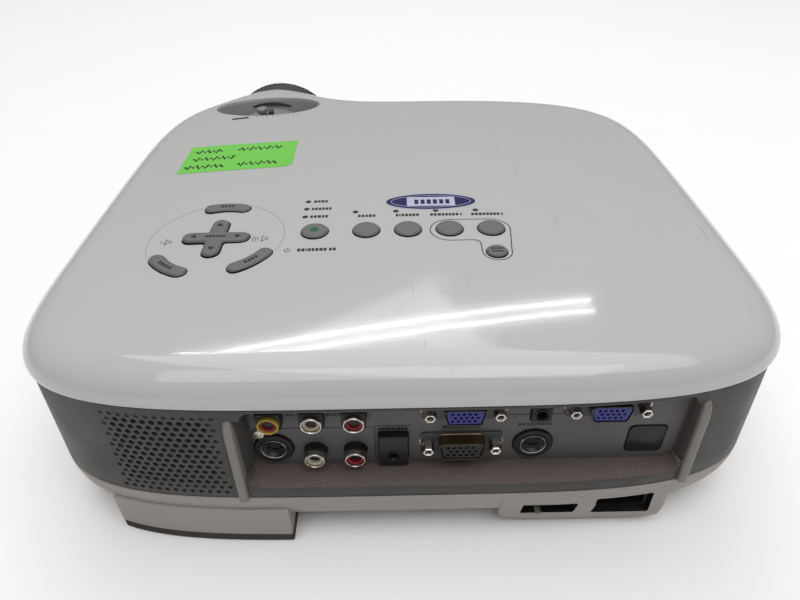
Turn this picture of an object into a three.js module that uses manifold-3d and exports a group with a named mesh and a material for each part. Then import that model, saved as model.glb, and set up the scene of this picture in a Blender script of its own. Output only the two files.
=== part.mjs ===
// A portable home projector, built as it comes apart on a bench: three casing shells, a rear terminal
// panel, a turning lens, sprung keys, a mains switch, feet, and the boards, lamp and fan inside.
//
// Millimetres, +Z up. The lens faces -Y, the terminals face +Y, and z = 0 is the surface it stands on.
import * as THREE from 'three';
import { mergeVertices } from 'three/addons/utils/BufferGeometryUtils.js';
import Module from 'manifold-3d';

const wasm = await Module();
wasm.setup();

// ---------------------------------------------------------------- driving dimensions

const GAP = 0.3; // air left between pieces that lie against each other
const WALL = 2.4; // casing wall

// Plan of the case: a superellipse whose rear half and two front corners have their own roundness.
const PLAN = {
  halfWidth: 146.65,
  centreY: 51.5,
  rearDepth: 98.9,
  frontDepth: 163.5,
  rear: { across: 4.3, along: 5.15 },
  frontLensSide: { across: 8.0, along: 6.3 },
  frontFarSide: { across: 3.5, along: 6.3 },
  points: 72,
};
// The nose that swells out of the front edge around the lens.
const NOSE = { x: 84, reach: 33, spread: 38 };

const BASE_Z = 8; // underside of the lower cover
const SEAM_Z = 29; // lower cover meets the middle band
const RIM_Z = 76; // middle band meets the top cover
const TOP_Z = 91; // highest point of the crowned top
const RIM_RADIUS = 13.3;
const BASE_CURVE = { inward: 12, upward: SEAM_Z - BASE_Z };
const BAND_INSET = 0.6;
// The top is a shallow cap of an ellipsoid.
const CROWN = { centreY: 20, centreZ: 47, semiX: 400, semiY: 480 };

const LENS = {
  x: 82.5,
  z: 48.5,
  holeRadius: 37.7,
  frontY: -153.48,
  collarY: -138, // front edge of the round collar
  collarBackY: -104, // where the collar runs out inside the case
  collarWall: 3,
  flangeY: -60,
};
const FOCUS_RING = { outer: 36.5, bore: 26.4, backY: -139 };
const ZOOM_RING = { outer: 33, bore: 26.4, frontY: -119, backY: -80, knobTop: 38.4 };
const ZOOM_OPENING = { x: 82.5, y: -99.4, halfWidth: 33, halfLength: 16.5 };

// Terminal recess in the rear of the middle band.
const RECESS = { left: 56.5, right: -103.5, floorZ: 35, plateY: 140, depthY: 137.4 };
const TIP_Y = 145.6; // how far the sockets reach back
const PLATE = 2; // thickness of the terminal plate

const KEY_TRAVEL = 0.8;
const KEY_PROUD = 1.3; // how far a key stands above the top
const KEY_BOARD_Z = 81.6;
const SWITCH_HEIGHT = 1;
// The cross-shaped select key, and the three curved keys round it.
const PAD = {
  x: 79.5,
  y: 62.5,
  reach: 14.5,
  armWidth: 9,
  arcRadius: 26.3,
  arcWidth: 6.4,
  arcHalfAngle: 0.37,
};
const ROUND_KEYS = [
  { name: 'key_power', x: 36.9, y: 59.5, radius: 5.84 },
  { name: 'key_video', x: 14.3, y: 59.5, radius: 5.84 },
  { name: 'key_svideo', x: -3.9, y: 59.5, radius: 5.84 },
  { name: 'key_computer_1', x: -22.1, y: 59.5, radius: 5.84 },
  { name: 'key_computer_2', x: -40.3, y: 59.5, radius: 5.84 },
  { name: 'key_auto_adjust', x: -40.4, y: 77.9, radius: 4.8 },
];
const ARC_KEYS = [
  { name: 'key_menu', angle: -Math.PI / 2 },
  { name: 'key_enter', angle: 0.9 },
  { name: 'key_exit', angle: 2.36 },
];
const STATUS_LIGHTS = { x: 42.5, rows: [32.4, 39.4, 46.4] };
const INPUT_LIGHTS = { y: 43.2, columns: [19.8, 1.3, -16.9, -35.1] };
const STATUS_SPOTS = STATUS_LIGHTS.rows.map((y) => [STATUS_LIGHTS.x, y]);
const INPUT_SPOTS = INPUT_LIGHTS.columns.map((x) => [x, INPUT_LIGHTS.y]);
const LIGHT_RADIUS = 1.1;

// Block on the lower rear right that holds the mains switch and inlet, and stands on a pad.
const INLET_BLOCK = {
  left: -37.5,
  right: -104.5,
  frontY: 100,
  topZ: 24,
  bottomZ: 2.7,
  topY: 152, // the rear face leans in from here
  bottomY: 145.5, // to here
};
const SWITCH = { x: -56.9, z: 16, width: 21.3, height: 9.6, rearY: 145.4, bodyDepth: 22, wellDepth: 7 };
const INLET = { x: -86.3, z: 16.6, width: 23, height: 12.4, rearY: 145.2, bodyDepth: 26, wellDepth: 15 };
// Block under the lower rear left, on its own pad.
const FOOT_BLOCK = { left: 116.2, right: 45.2, frontY: 119, topZ: 20.8, bottomZ: 3.3, proud: 1.2 };
const FRONT_FOOT = { x: 0, y: -84, padRadius: 11, stemRadius: 8, topZ: 68, padTop: 7.4 };
const FAN = { x: 86.5, y: 117, z: 49.4, size: 56, depth: 15, bladeRadius: 24.5, holeRadius: 26 };

// ---------------------------------------------------------------- materials

const paint = (color, roughness, metalness = 0) => {
  return new THREE.MeshStandardMaterial({ color, roughness, metalness });
};
const MATERIALS = {
  whiteGloss: () => paint(0xdfe0dd, 0.18),
  silverGrey: () => paint(0x9b9d9c, 0.5),
  lowerWhite: () => paint(0xcfcdca, 0.5),
  keyGrey: () => paint(0x8f9391, 0.45),
  darkGrey: () => paint(0x4a4b4d, 0.55),
  black: () => paint(0x17181a, 0.5),
  plateGrey: () => paint(0x5b5a5c, 0.6),
  smoked: () => paint(0x141012, 0.15),
  rubber: () => paint(0x2c2b2b, 0.9),
  steel: () => paint(0xb9bbbd, 0.35, 1),
  yellow: () => paint(0xd9a520, 0.5),
  white: () => paint(0xe6e3da, 0.5),
  red: () => paint(0xb0202a, 0.5),
  socketBlue: () => paint(0x2b3fae, 0.5),
  glass: () => paint(0x9fb4c4, 0.05),
  board: () => paint(0x1f5a34, 0.6),
  casting: () => paint(0x6f7275, 0.5, 0.8),
  lightGuide: () => paint(0x2b3a2d, 0.3),
};

// ---------------------------------------------------------------- solids and booleans

// Turns a closed three.js geometry into a solid that can be cut and joined.
function solid(geometry) {
  const bare = geometry.index ? geometry.toNonIndexed() : geometry.clone();
  bare.deleteAttribute('normal');
  bare.deleteAttribute('uv');
  const welded = mergeVertices(bare, 1e-4);
  const corners = welded.index.array;
  const kept = [];
  for (let i = 0; i < corners.length; i += 3) {
    const [a, b, c] = [corners[i], corners[i + 1], corners[i + 2]];
    if (a !== b && b !== c && c !== a) kept.push(a, b, c);
  }
  const mesh = new wasm.Mesh({
    numProp: 3,
    vertProperties: new Float32Array(welded.attributes.position.array),
    triVerts: new Uint32Array(kept),
  });
  return new wasm.Manifold(mesh);
}

const join = (...pieces) => pieces.reduce((whole, piece) => whole.add(piece));
const cut = (blank, ...tools) => tools.reduce((whole, tool) => whole.subtract(tool), blank);

// A box from its lowest and highest corner.
function block(low, high) {
  const size = high.map((value, i) => value - low[i]);
  const middle = high.map((value, i) => (value + low[i]) / 2);
  return solid(new THREE.BoxGeometry(...size).translate(...middle));
}

// A block centred on a panel part, of given half sizes, between two Y planes.
const centredBlock = ({ x, z }, halfWidth, halfHeight, lowY, highY) => {
  return block([x - halfWidth, lowY, z - halfHeight], [x + halfWidth, highY, z + halfHeight]);
};

// A round bar along 'x', 'y' or 'z', from one end to the other.
function bar(axis, radius, from, to, across, segments = 16) {
  const length = to - from;
  const middle = (from + to) / 2;
  const geometry = new THREE.CylinderGeometry(radius, radius, length, segments);
  if (axis === 'x') return solid(geometry.rotateZ(Math.PI / 2).translate(middle, across[0], across[1]));
  if (axis === 'y') return solid(geometry.translate(across[0], middle, across[1]));
  return solid(geometry.rotateX(Math.PI / 2).translate(across[0], across[1], middle));
}

// A flat outline in X and Y, made a prism from one height to another.
function prism(shape, lowZ, highZ, curveSegments = 8) {
  const options = { depth: highZ - lowZ, bevelEnabled: false, curveSegments };
  return solid(new THREE.ExtrudeGeometry(shape, options).translate(0, 0, lowZ));
}

// A flat outline in X and Z, made a prism from one Y to another.
function wallPrism(shape, lowY, highY, curveSegments = 8) {
  const options = { depth: highY - lowY, bevelEnabled: false, curveSegments };
  return solid(new THREE.ExtrudeGeometry(shape, options).rotateX(Math.PI / 2).translate(0, highY, 0));
}

// A round part turned about the lens axis, or about any line along Y.
function turned(profile, x, z, segments = 28) {
  const points = profile.map(([radius, y]) => new THREE.Vector2(radius, y));
  if (THREE.ShapeUtils.area(points) < 0) points.reverse();
  return solid(new THREE.LatheGeometry(points, segments).translate(x, 0, z));
}

function roundedRect(x, y, width, height, radius) {
  const shape = new THREE.Shape();
  const [left, right, low, high] = [x - width / 2, x + width / 2, y - height / 2, y + height / 2];
  shape.moveTo(left + radius, low);
  shape.lineTo(right - radius, low);
  shape.absarc(right - radius, low + radius, radius, -Math.PI / 2, 0);
  shape.lineTo(right, high - radius);
  shape.absarc(right - radius, high - radius, radius, 0, Math.PI / 2);
  shape.lineTo(left + radius, high);
  shape.absarc(left + radius, high - radius, radius, Math.PI / 2, Math.PI);
  shape.lineTo(left, low + radius);
  shape.absarc(left + radius, low + radius, radius, Math.PI, 1.5 * Math.PI);
  return shape;
}

const projector = new THREE.Group();

// Adds a finished solid as one named sub-part.
function part(name, piece, material, position = [0, 0, 0]) {
  const { vertProperties, triVerts } = piece.getMesh();
  const geometry = new THREE.BufferGeometry();
  geometry.setAttribute('position', new THREE.BufferAttribute(new Float32Array(vertProperties), 3));
  geometry.setIndex(new THREE.BufferAttribute(new Uint32Array(triVerts), 1));
  geometry.computeVertexNormals();
  const mesh = new THREE.Mesh(geometry, material());
  mesh.name = name;
  mesh.position.set(...position);
  projector.add(mesh);
}

// ---------------------------------------------------------------- plan outline of the case

// One point of the plan, in a direction from its centre:
// where (x / width) ** across + (y / depth) ** along is 1.
function planPoint(angle) {
  const [c, s] = [Math.cos(angle), Math.sin(angle)];
  const front = c >= 0 ? PLAN.frontLensSide : PLAN.frontFarSide;
  const corner = s >= 0 ? PLAN.rear : front;
  const depth = s >= 0 ? PLAN.rearDepth : PLAN.frontDepth;
  let [inside, outside] = [0.9, 1.5];
  for (let halving = 0; halving < 30; halving += 1) {
    const middle = (inside + outside) / 2;
    const sum = Math.abs(middle * c) ** corner.across + Math.abs(middle * s) ** corner.along;
    if (sum < 1) inside = middle;
    else outside = middle;
  }
  const x = PLAN.halfWidth * inside * c;
  const y = PLAN.centreY + depth * inside * s;
  const nose = s < 0 ? NOSE.reach * Math.exp(-(((x - NOSE.x) / NOSE.spread) ** 2)) : 0;
  const fade = THREE.MathUtils.smoothstep(-y, -PLAN.centreY, 60);
  return new THREE.Vector2(x, y - nose * fade);
}

// Spreads points round the plan, closer together where it turns, then moves them inward.
function planOutline(inset) {
  const dense = Array.from({ length: 2400 }, (_, i) => planPoint((i / 2400) * 2 * Math.PI));
  const turnWeight = 60; // millimetres of length that one radian of turning is worth
  const reached = [0];
  for (let i = 1; i <= dense.length; i += 1) {
    const [before, here] = [dense[i - 1], dense[i % dense.length]];
    const after = dense[(i + 1) % dense.length];
    const step = new THREE.Vector2().subVectors(here, before);
    const next = new THREE.Vector2().subVectors(after, here);
    const turn = Math.abs(Math.atan2(step.cross(next), step.dot(next)));
    reached.push(reached[i - 1] + step.length() + turnWeight * turn);
  }
  const total = reached[dense.length];
  const picked = [];
  for (let k = 0, i = 0; k < PLAN.points; k += 1) {
    while (reached[i] < (k / PLAN.points) * total) i += 1;
    picked.push(dense[i % dense.length]);
  }
  return picked.map((point, k) => {
    const before = picked[(k + PLAN.points - 1) % PLAN.points];
    const after = picked[(k + 1) % PLAN.points];
    const along = new THREE.Vector2().subVectors(after, before).normalize();
    return new THREE.Vector2(point.x - along.y * inset, point.y + along.x * inset);
  });
}

const planShape = (inset) => new THREE.Shape(planOutline(inset));
const planPrism = (inset, lowZ, highZ) => prism(planShape(inset), lowZ, highZ);

// The plan with its upper and lower edges curved in, before it is trimmed to its own heights.
function curvedPrism(inset, lowZ, highZ, inward, upward, steps) {
  const options = {
    depth: highZ - lowZ - 2 * upward,
    bevelEnabled: true,
    bevelSize: inward,
    bevelOffset: -inward,
    bevelThickness: upward,
    bevelSegments: steps,
  };
  return solid(new THREE.ExtrudeGeometry(planShape(inset), options).translate(0, 0, lowZ + upward));
}

// Height of the crowned top over a point of the plan.
function crownZ(x, y) {
  const drop = (x / CROWN.semiX) ** 2 + ((y - CROWN.centreY) / CROWN.semiY) ** 2;
  return CROWN.centreZ + (TOP_Z - CROWN.centreZ) * Math.sqrt(1 - drop);
}

function crownSolid(lower) {
  const globe = new THREE.SphereGeometry(1, 24, 32).rotateX(Math.PI / 2);
  globe.scale(CROWN.semiX, CROWN.semiY, TOP_Z - CROWN.centreZ);
  return solid(globe.translate(0, CROWN.centreY, CROWN.centreZ - lower));
}

const WIDE = 400; // larger than the object, for trimming blocks
const slab = (lowZ, highZ) => block([-WIDE, -WIDE, lowZ], [WIDE, WIDE, highZ]);
const lensHole = (radius) => bar('y', radius, -WIDE, -100, [LENS.x, LENS.z], 40);

// ---------------------------------------------------------------- casing

// The round collar that the casing shells form together around the focus ring.
function collar(lowZ, highZ) {
  const radius = LENS.holeRadius + LENS.collarWall;
  const tube = bar('y', radius, LENS.collarY, LENS.collarBackY, [LENS.x, LENS.z], 40);
  return tube.intersect(slab(lowZ, highZ)).intersect(crownSolid(0));
}

function ellipsePrism(x, y, halfWidth, halfLength, lowZ, highZ) {
  const shape = new THREE.Shape();
  shape.absellipse(x, y, halfWidth, halfLength, 0, 2 * Math.PI);
  return prism(shape, lowZ, highZ, 18);
}

// A curved key face: a bar bent round the middle of the cross key, with round ends.
function arcShape(angle, grow) {
  const shape = new THREE.Shape();
  const half = PAD.arcWidth / 2 + grow;
  const from = angle - PAD.arcHalfAngle;
  const to = angle + PAD.arcHalfAngle;
  const end = (at) => [PAD.x + PAD.arcRadius * Math.cos(at), PAD.y + PAD.arcRadius * Math.sin(at)];
  shape.absarc(PAD.x, PAD.y, PAD.arcRadius + half, from, to);
  shape.absarc(...end(to), half, to, to + Math.PI);
  shape.absarc(PAD.x, PAD.y, PAD.arcRadius - half, to, from, true);
  shape.absarc(...end(from), half, from + Math.PI, from + 2 * Math.PI);
  return shape;
}

function crossSolid(grow, lowZ, highZ) {
  const long = 2 * (PAD.reach + grow);
  const short = PAD.armWidth + 2 * grow;
  const radius = short / 2 - 1;
  const across = prism(roundedRect(PAD.x, PAD.y, long, short, radius), lowZ, highZ, 4);
  const along = prism(roundedRect(PAD.x, PAD.y, short, long, radius), lowZ, highZ, 4);
  return join(across, along);
}

function topCover() {
  const outer = curvedPrism(0, 40, TOP_Z, RIM_RADIUS, RIM_RADIUS, 3).intersect(crownSolid(0));
  const innerRadius = RIM_RADIUS - WALL;
  const inner = curvedPrism(WALL, 40, TOP_Z - WALL, innerRadius, innerRadius, 2).intersect(crownSolid(WALL));
  const lowZ = TOP_Z - 10;
  const highZ = TOP_Z + 5;
  const roundHoles = ROUND_KEYS.map((key) => bar('z', key.radius + 0.5, lowZ, highZ, [key.x, key.y]));
  const arcHoles = ARC_KEYS.map((key) => prism(arcShape(key.angle, 0.5), lowZ, highZ, 5));
  const lightHoles = [...STATUS_SPOTS, ...INPUT_SPOTS].map((at) => {
    return bar('z', LIGHT_RADIUS + GAP, lowZ, highZ, at, 10);
  });
  const { x, y, halfWidth, halfLength } = ZOOM_OPENING;
  const zoomHole = ellipsePrism(x, y, halfWidth, halfLength, lowZ - 10, highZ);
  const shell = outer.intersect(slab(RIM_Z, TOP_Z + 1)).subtract(inner).add(collar(RIM_Z, TOP_Z));
  const crossHole = crossSolid(0.8, lowZ, highZ);
  const holes = [...roundHoles, ...arcHoles, ...lightHoles, crossHole, zoomHole];
  return cut(shell, ...holes, lensHole(LENS.holeRadius));
}

// Where the grilles, the window and the button are let into the band.
const REAR_VENT = { low: [65, 120, 31.5], high: [107, 160, 72.5] };
const FRONT_VENT = { low: [-118, -130, 36], high: [-34, -70, 68] };
const FRONT_SENSOR = { low: [-14, -130, 54], high: [12, -100, 66] };
const FOOT_BUTTON = { low: [-8, -130, 38], high: [8, -100, 46] };
const grown = ({ low, high }, by) => block(low.map((v) => v - by), high.map((v) => v + by));

function middleBand() {
  const lowZ = SEAM_Z + GAP;
  const highZ = RIM_Z - GAP;
  const ring = planPrism(BAND_INSET, lowZ, highZ).subtract(planPrism(BAND_INSET + WALL, lowZ - 1, highZ + 1));
  const { left, right, floorZ, depthY } = RECESS;
  const mouth = block([right, depthY, floorZ], [left, 160, highZ + 1]);
  const rearPart = planPrism(BAND_INSET, lowZ, highZ);
  const shelf = block([right - WALL, depthY, floorZ - WALL], [left + WALL, 150, floorZ]).intersect(rearPart);
  const leftCheek = block([left, depthY, floorZ - WALL], [left + WALL, 150, highZ]).intersect(rearPart);
  const rightCheek = block([right - WALL, depthY, floorZ - WALL], [right, 150, highZ]).intersect(rearPart);
  const leftRib = block([left + 0.4, 146, lowZ], [left + 4, 152, 73]);
  const rightRib = block([right - 5.2, 143, lowZ], [right - 1.6, 149.4, 73]);
  const body = join(cut(ring, mouth), shelf, leftCheek, rightCheek, leftRib, rightRib);
  const vents = [REAR_VENT, FRONT_VENT, FRONT_SENSOR, FOOT_BUTTON].map((vent) => grown(vent, GAP));
  return cut(body.add(collar(lowZ, highZ)), ...vents, lensHole(LENS.holeRadius));
}

// A piece of the band's own curved wall, let into one of its openings.
function wallInsert({ low, high }, proud, thickness) {
  const outer = planPrism(BAND_INSET - proud, 0, TOP_Z);
  const inner = planPrism(BAND_INSET - proud + thickness, -1, TOP_Z + 1);
  return outer.subtract(inner).intersect(block(low, high));
}

function footBlockPlan(proud, grow, lowZ, highZ) {
  const { left, right, frontY } = FOOT_BLOCK;
  const window = roundedRect((left + right) / 2, frontY + 28, left - right + 2 * grow, 56 + 2 * grow, 6);
  return planPrism(-proud - grow, lowZ, highZ).intersect(prism(window, lowZ, highZ, 4));
}

function inletBlockSolid(grow) {
  const { left, right, frontY, topZ, bottomZ, topY, bottomY } = INLET_BLOCK;
  const profile = new THREE.Shape([
    new THREE.Vector2(frontY - grow, bottomZ - grow),
    new THREE.Vector2(bottomY + grow, bottomZ - grow),
    new THREE.Vector2(topY + grow, topZ + grow),
    new THREE.Vector2(frontY - grow, topZ + grow),
  ]);
  const options = { depth: left - right + 2 * grow, bevelEnabled: false };
  const side = new THREE.ExtrudeGeometry(profile, options);
  side.rotateX(Math.PI / 2).rotateZ(Math.PI / 2).translate(right - grow, 0, 0);
  const corners = roundedRect((left + right) / 2, topZ - 11, left - right + 2 * grow, 44, 8);
  const rounded = wallPrism(corners, frontY - 5, 160).translate([0, 0, bottomZ - grow - (topZ - 33)]);
  return solid(side).intersect(rounded).intersect(planPrism(BAND_INSET - grow, -5, 40));
}

const FILTER = { x: -72, y: 20, width: 96, length: 70 };
const LAMP_DOOR = { x: 72, y: 62, width: 92, length: 84 };
const coverPlate = (door, grow, lowZ, highZ) => {
  const outline = roundedRect(door.x, door.y, door.width + 2 * grow, door.length + 2 * grow, 5 + grow);
  return prism(outline, lowZ, highZ, 4);
};

function bottomCover() {
  const { inward, upward } = BASE_CURVE;
  const outer = curvedPrism(GAP, BASE_Z, BASE_Z + 3 * upward, inward, upward, 3);
  const inner = curvedPrism(GAP + WALL, BASE_Z + WALL, BASE_Z + 3 * upward, inward - 1, upward - WALL, 2);
  const shell = outer.subtract(inner).intersect(slab(0, SEAM_Z)).add(collar(BASE_Z, SEAM_Z));
  const footHole = bar('z', FRONT_FOOT.stemRadius + 3, 0, 20, [FRONT_FOOT.x, FRONT_FOOT.y]);
  return cut(
    shell,
    inletBlockSolid(GAP),
    footBlockPlan(FOOT_BLOCK.proud, GAP, FOOT_BLOCK.bottomZ - 1, FOOT_BLOCK.topZ + GAP),
    coverPlate(FILTER, GAP, 0, 20),
    coverPlate(LAMP_DOOR, GAP, 0, 20),
    footHole,
    lensHole(LENS.holeRadius),
  );
}

function filterCover() {
  const plate = coverPlate(FILTER, 0, BASE_Z, BASE_Z + 2);
  const slots = [-3, -2, -1, 0, 1, 2, 3].map((step) => {
    const y = FILTER.y + step * 8;
    return block([FILTER.x - 38, y - 1.5, 0], [FILTER.x + 38, y + 1.5, 20]);
  });
  return cut(plate, ...slots);
}

part('top_cover', topCover(), MATERIALS.whiteGloss);
part('middle_band', middleBand(), MATERIALS.silverGrey);
part('bottom_cover', bottomCover(), MATERIALS.lowerWhite);
part('rear_vent_grille', wallInsert(REAR_VENT, 0, 1.6), MATERIALS.silverGrey);
part('front_vent_grille', wallInsert(FRONT_VENT, 0, 1.6), MATERIALS.silverGrey);
part('front_sensor_window', wallInsert(FRONT_SENSOR, 0.4, 2), MATERIALS.smoked);
part('filter_cover', filterCover(), MATERIALS.lowerWhite);
const lampScrew = { x: LAMP_DOOR.x, y: LAMP_DOOR.y - 34 };
part(
  'lamp_cover',
  cut(coverPlate(LAMP_DOOR, 0, BASE_Z, BASE_Z + 2), bar('z', 2, 0, 20, [lampScrew.x, lampScrew.y], 12)),
  MATERIALS.lowerWhite,
);
part(
  'lamp_cover_screw',
  join(
    cut(bar('z', 3.2, BASE_Z - 1.9, BASE_Z - GAP, [lampScrew.x, lampScrew.y], 20), slotCross(lampScrew)),
    bar('z', 1.6, BASE_Z - 1, BASE_Z + 3.5, [lampScrew.x, lampScrew.y], 12),
  ),
  MATERIALS.steel,
);

// The cross slot in a screw's head.
function slotCross({ x, y }) {
  const lowZ = BASE_Z - 2.4;
  const highZ = BASE_Z - 1.2;
  const [long, short] = [2, 0.35];
  const across = block([x - long, y - short, lowZ], [x + long, y + short, highZ]);
  const along = block([x - short, y - long, lowZ], [x + short, y + long, highZ]);
  return join(across, along);
}

// ---------------------------------------------------------------- feet and the blocks they stand under

function footBlock() {
  const { topZ, bottomZ, proud, left, right, frontY } = FOOT_BLOCK;
  const outer = footBlockPlan(proud, 0, bottomZ, topZ);
  const hollow = block([right + WALL + 1, frontY + WALL, bottomZ + WALL], [left - 12, 146.5, topZ + 1]);
  return outer.subtract(hollow.intersect(planPrism(WALL, 0, TOP_Z)));
}

function footBlockPad() {
  return footBlockPlan(FOOT_BLOCK.proud + 1.4, 0.6, 0, FOOT_BLOCK.bottomZ - GAP);
}

function inletBlock() {
  const { left, right, frontY, topZ, bottomZ } = INLET_BLOCK;
  const hollow = block([right + WALL, frontY + WALL, bottomZ + WALL], [left - WALL, 142, topZ + 1]);
  const holes = [SWITCH, INLET].map((place) => {
    return centredBlock(place, place.width / 2, place.height / 2, 130, 160);
  });
  return cut(inletBlockSolid(0), hollow, ...holes);
}

function frontFoot() {
  const { x, y, padRadius, stemRadius, topZ, padTop } = FRONT_FOOT;
  const pad = bar('z', padRadius, 0, padTop, [x, y], 32);
  const notches = [0, 1, 2, 3, 4].map((step) => {
    const z = 18 + step * 5;
    return block([x - 6, y - stemRadius - 1, z], [x + 6, y - stemRadius + 1.4, z + 2]);
  });
  return cut(join(pad, bar('z', stemRadius, padTop - 1, topZ, [x, y], 28)), ...notches);
}

function footSleeve() {
  const { x, y, stemRadius } = FRONT_FOOT;
  const outer = bar('z', stemRadius + 2.6, BASE_Z, 46, [x, y], 28);
  return cut(outer, bar('z', stemRadius + GAP, 0, 60, [x, y], 28));
}

function footButton() {
  const { low, high } = FOOT_BUTTON;
  const frontY = 50 - PLAN.frontDepth - 0.4;
  const cap = block([low[0], frontY, low[2]], [high[0], frontY + 6, high[2]]);
  const flange = block([low[0] - 2, frontY + 5.4, low[2] - 2], [high[0] + 2, frontY + 7, high[2] + 2]);
  const tongueBackY = FRONT_FOOT.y - FRONT_FOOT.stemRadius - 7;
  const tongue = block([-3, frontY + 5, low[2] + 2], [3, tongueBackY, high[2] - 2]);
  return join(cap, flange, tongue);
}

part('rear_left_foot_housing', footBlock(), MATERIALS.lowerWhite);
part('rear_left_foot_pad', footBlockPad(), MATERIALS.rubber);
part('power_inlet_housing', inletBlock(), MATERIALS.lowerWhite);
const rightPad = prism(roundedRect(-72, 134, 56, 17, 4), 0, INLET_BLOCK.bottomZ - GAP, 4);
part('rear_right_foot_pad', rightPad, MATERIALS.rubber);
part('front_foot', frontFoot(), MATERIALS.darkGrey);
part('front_foot_sleeve', footSleeve(), MATERIALS.darkGrey);
part('front_foot_button', footButton(), MATERIALS.keyGrey);

// ---------------------------------------------------------------- lens

function lensBarrel() {
  const { flangeY } = LENS;
  const profile = [
    [20, flangeY],
    [34, flangeY],
    [34, flangeY - 4],
    [26, flangeY - 4],
    [26, LENS.collarY],
    [20, LENS.collarY],
    [20, flangeY],
  ];
  return turned(profile, LENS.x, LENS.z);
}

// A plain ring whose front opens out as a flared hood.
function focusRing() {
  const { outer, bore, backY } = FOCUS_RING;
  const front = LENS.frontY;
  const profile = [
    [bore, backY], [outer, backY], [outer, front + 1.5], [outer - 1.5, front],
    [32.5, front], [bore, front + 7], [bore, backY],
  ];
  return turned(profile, LENS.x, LENS.z, 36);
}

function frontGlass() {
  const rim = FOCUS_RING.bore - GAP;
  const front = LENS.frontY + 7.6;
  const dome = [0, 0.25, 0.5, 0.75, 1].map((step) => [rim * step, front - 2.6 * (1 - step * step)]);
  return turned([...dome, [rim, front + 2.5], [0, front + 2.5]], LENS.x, LENS.z, 24);
}

function zoomRing() {
  const { outer, bore, frontY, backY, knobTop } = ZOOM_RING;
  const profile = [
    [bore, frontY],
    [outer - 1, frontY],
    [outer, frontY + 1],
    [outer, backY - 1],
    [outer - 1, backY],
    [bore, backY],
    [bore, frontY],
  ];
  const ring = turned(profile, LENS.x, LENS.z, 32);
  const y = ZOOM_OPENING.y;
  const post = prism(roundedRect(LENS.x, y, 7.4, 9, 2.4), LENS.z + outer - 2, LENS.z + knobTop, 5);
  return join(ring, post);
}

part('lens_barrel', lensBarrel(), MATERIALS.darkGrey);
part('zoom_ring', zoomRing(), MATERIALS.silverGrey);
part('focus_ring', focusRing(), MATERIALS.darkGrey);
part('front_lens_element', frontGlass(), MATERIALS.glass);

// ---------------------------------------------------------------- keys, lights and their board

const stemBottomZ = KEY_BOARD_Z + SWITCH_HEIGHT + KEY_TRAVEL + GAP;

function roundKey({ x, y, radius }) {
  const surface = crownZ(x, y);
  const under = surface - WALL - GAP;
  return join(
    bar('z', radius, under - 0.5, surface + KEY_PROUD, [x, y]),
    bar('z', radius + 1.4, under - 1.2, under, [x, y]),
    bar('z', 2, stemBottomZ, under - 1, [x, y], 8),
  );
}

function arcKey({ angle }) {
  const at = [PAD.x + PAD.arcRadius * Math.cos(angle), PAD.y + PAD.arcRadius * Math.sin(angle)];
  const surface = crownZ(...at);
  const under = surface - WALL - GAP - 0.25;
  return join(
    prism(arcShape(angle, 0), under - 0.5, surface + KEY_PROUD, 5),
    prism(arcShape(angle, 1.3), under - 1.2, under, 5),
    bar('z', 2, stemBottomZ, under - 1, at, 8),
  );
}

const GIMBAL_Z = stemBottomZ + 1;

function crossKey() {
  const surface = crownZ(PAD.x, PAD.y);
  return crossSolid(0, GIMBAL_Z + 0.9, surface + KEY_PROUD + GAP);
}

// The ring the cross key rocks on.
function selectGimbal() {
  const at = [PAD.x, PAD.y];
  return cut(bar('z', 4.4, GIMBAL_Z - 0.6, GIMBAL_Z + 0.6, at), bar('z', 2, 0, TOP_Z, at, 12));
}

function keyBoard() {
  const board = block([-50, 24, KEY_BOARD_Z - 1.6], [112, 96, KEY_BOARD_Z]);
  const seats = ROUND_KEYS.map((key) => [key.x, key.y]);
  ARC_KEYS.forEach(({ angle }) => {
    seats.push([PAD.x + PAD.arcRadius * Math.cos(angle), PAD.y + PAD.arcRadius * Math.sin(angle)]);
  });
  [0, 1, 2, 3].forEach((quarter) => {
    const turn = (quarter * Math.PI) / 2;
    seats.push([PAD.x + 11.5 * Math.cos(turn), PAD.y + 11.5 * Math.sin(turn)]);
  });
  const switches = seats.map(([x, y]) => {
    return block([x - 3, y - 3, KEY_BOARD_Z - 0.5], [x + 3, y + 3, KEY_BOARD_Z + SWITCH_HEIGHT]);
  });
  return join(board, ...switches);
}

// Clear pipes that carry light from the board to the dots in the top, on one strip.
function lightGuide(spots) {
  const lowZ = KEY_BOARD_Z + GAP;
  const [first, last] = [spots[0], spots[spots.length - 1]];
  const low = [Math.min(first[0], last[0]) - 2, Math.min(first[1], last[1]) - 2, lowZ];
  const high = [Math.max(first[0], last[0]) + 2, Math.max(first[1], last[1]) + 2, lowZ + 1.5];
  const pipes = spots.map(([x, y]) => bar('z', LIGHT_RADIUS, lowZ + 0.5, crownZ(x, y) - 0.1, [x, y], 10));
  return join(block(low, high), ...pipes);
}

ROUND_KEYS.forEach((key) => part(key.name, roundKey(key), MATERIALS.keyGrey));
ARC_KEYS.forEach((key) => part(key.name, arcKey(key), MATERIALS.keyGrey));
part('key_select', crossKey(), MATERIALS.keyGrey);
part('select_gimbal', selectGimbal(), MATERIALS.black);
part('key_board', keyBoard(), MATERIALS.board);
part('status_light_guide', lightGuide(STATUS_SPOTS), MATERIALS.lightGuide);
part('input_light_guide', lightGuide(INPUT_SPOTS), MATERIALS.lightGuide);

// ---------------------------------------------------------------- rear terminals

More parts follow.
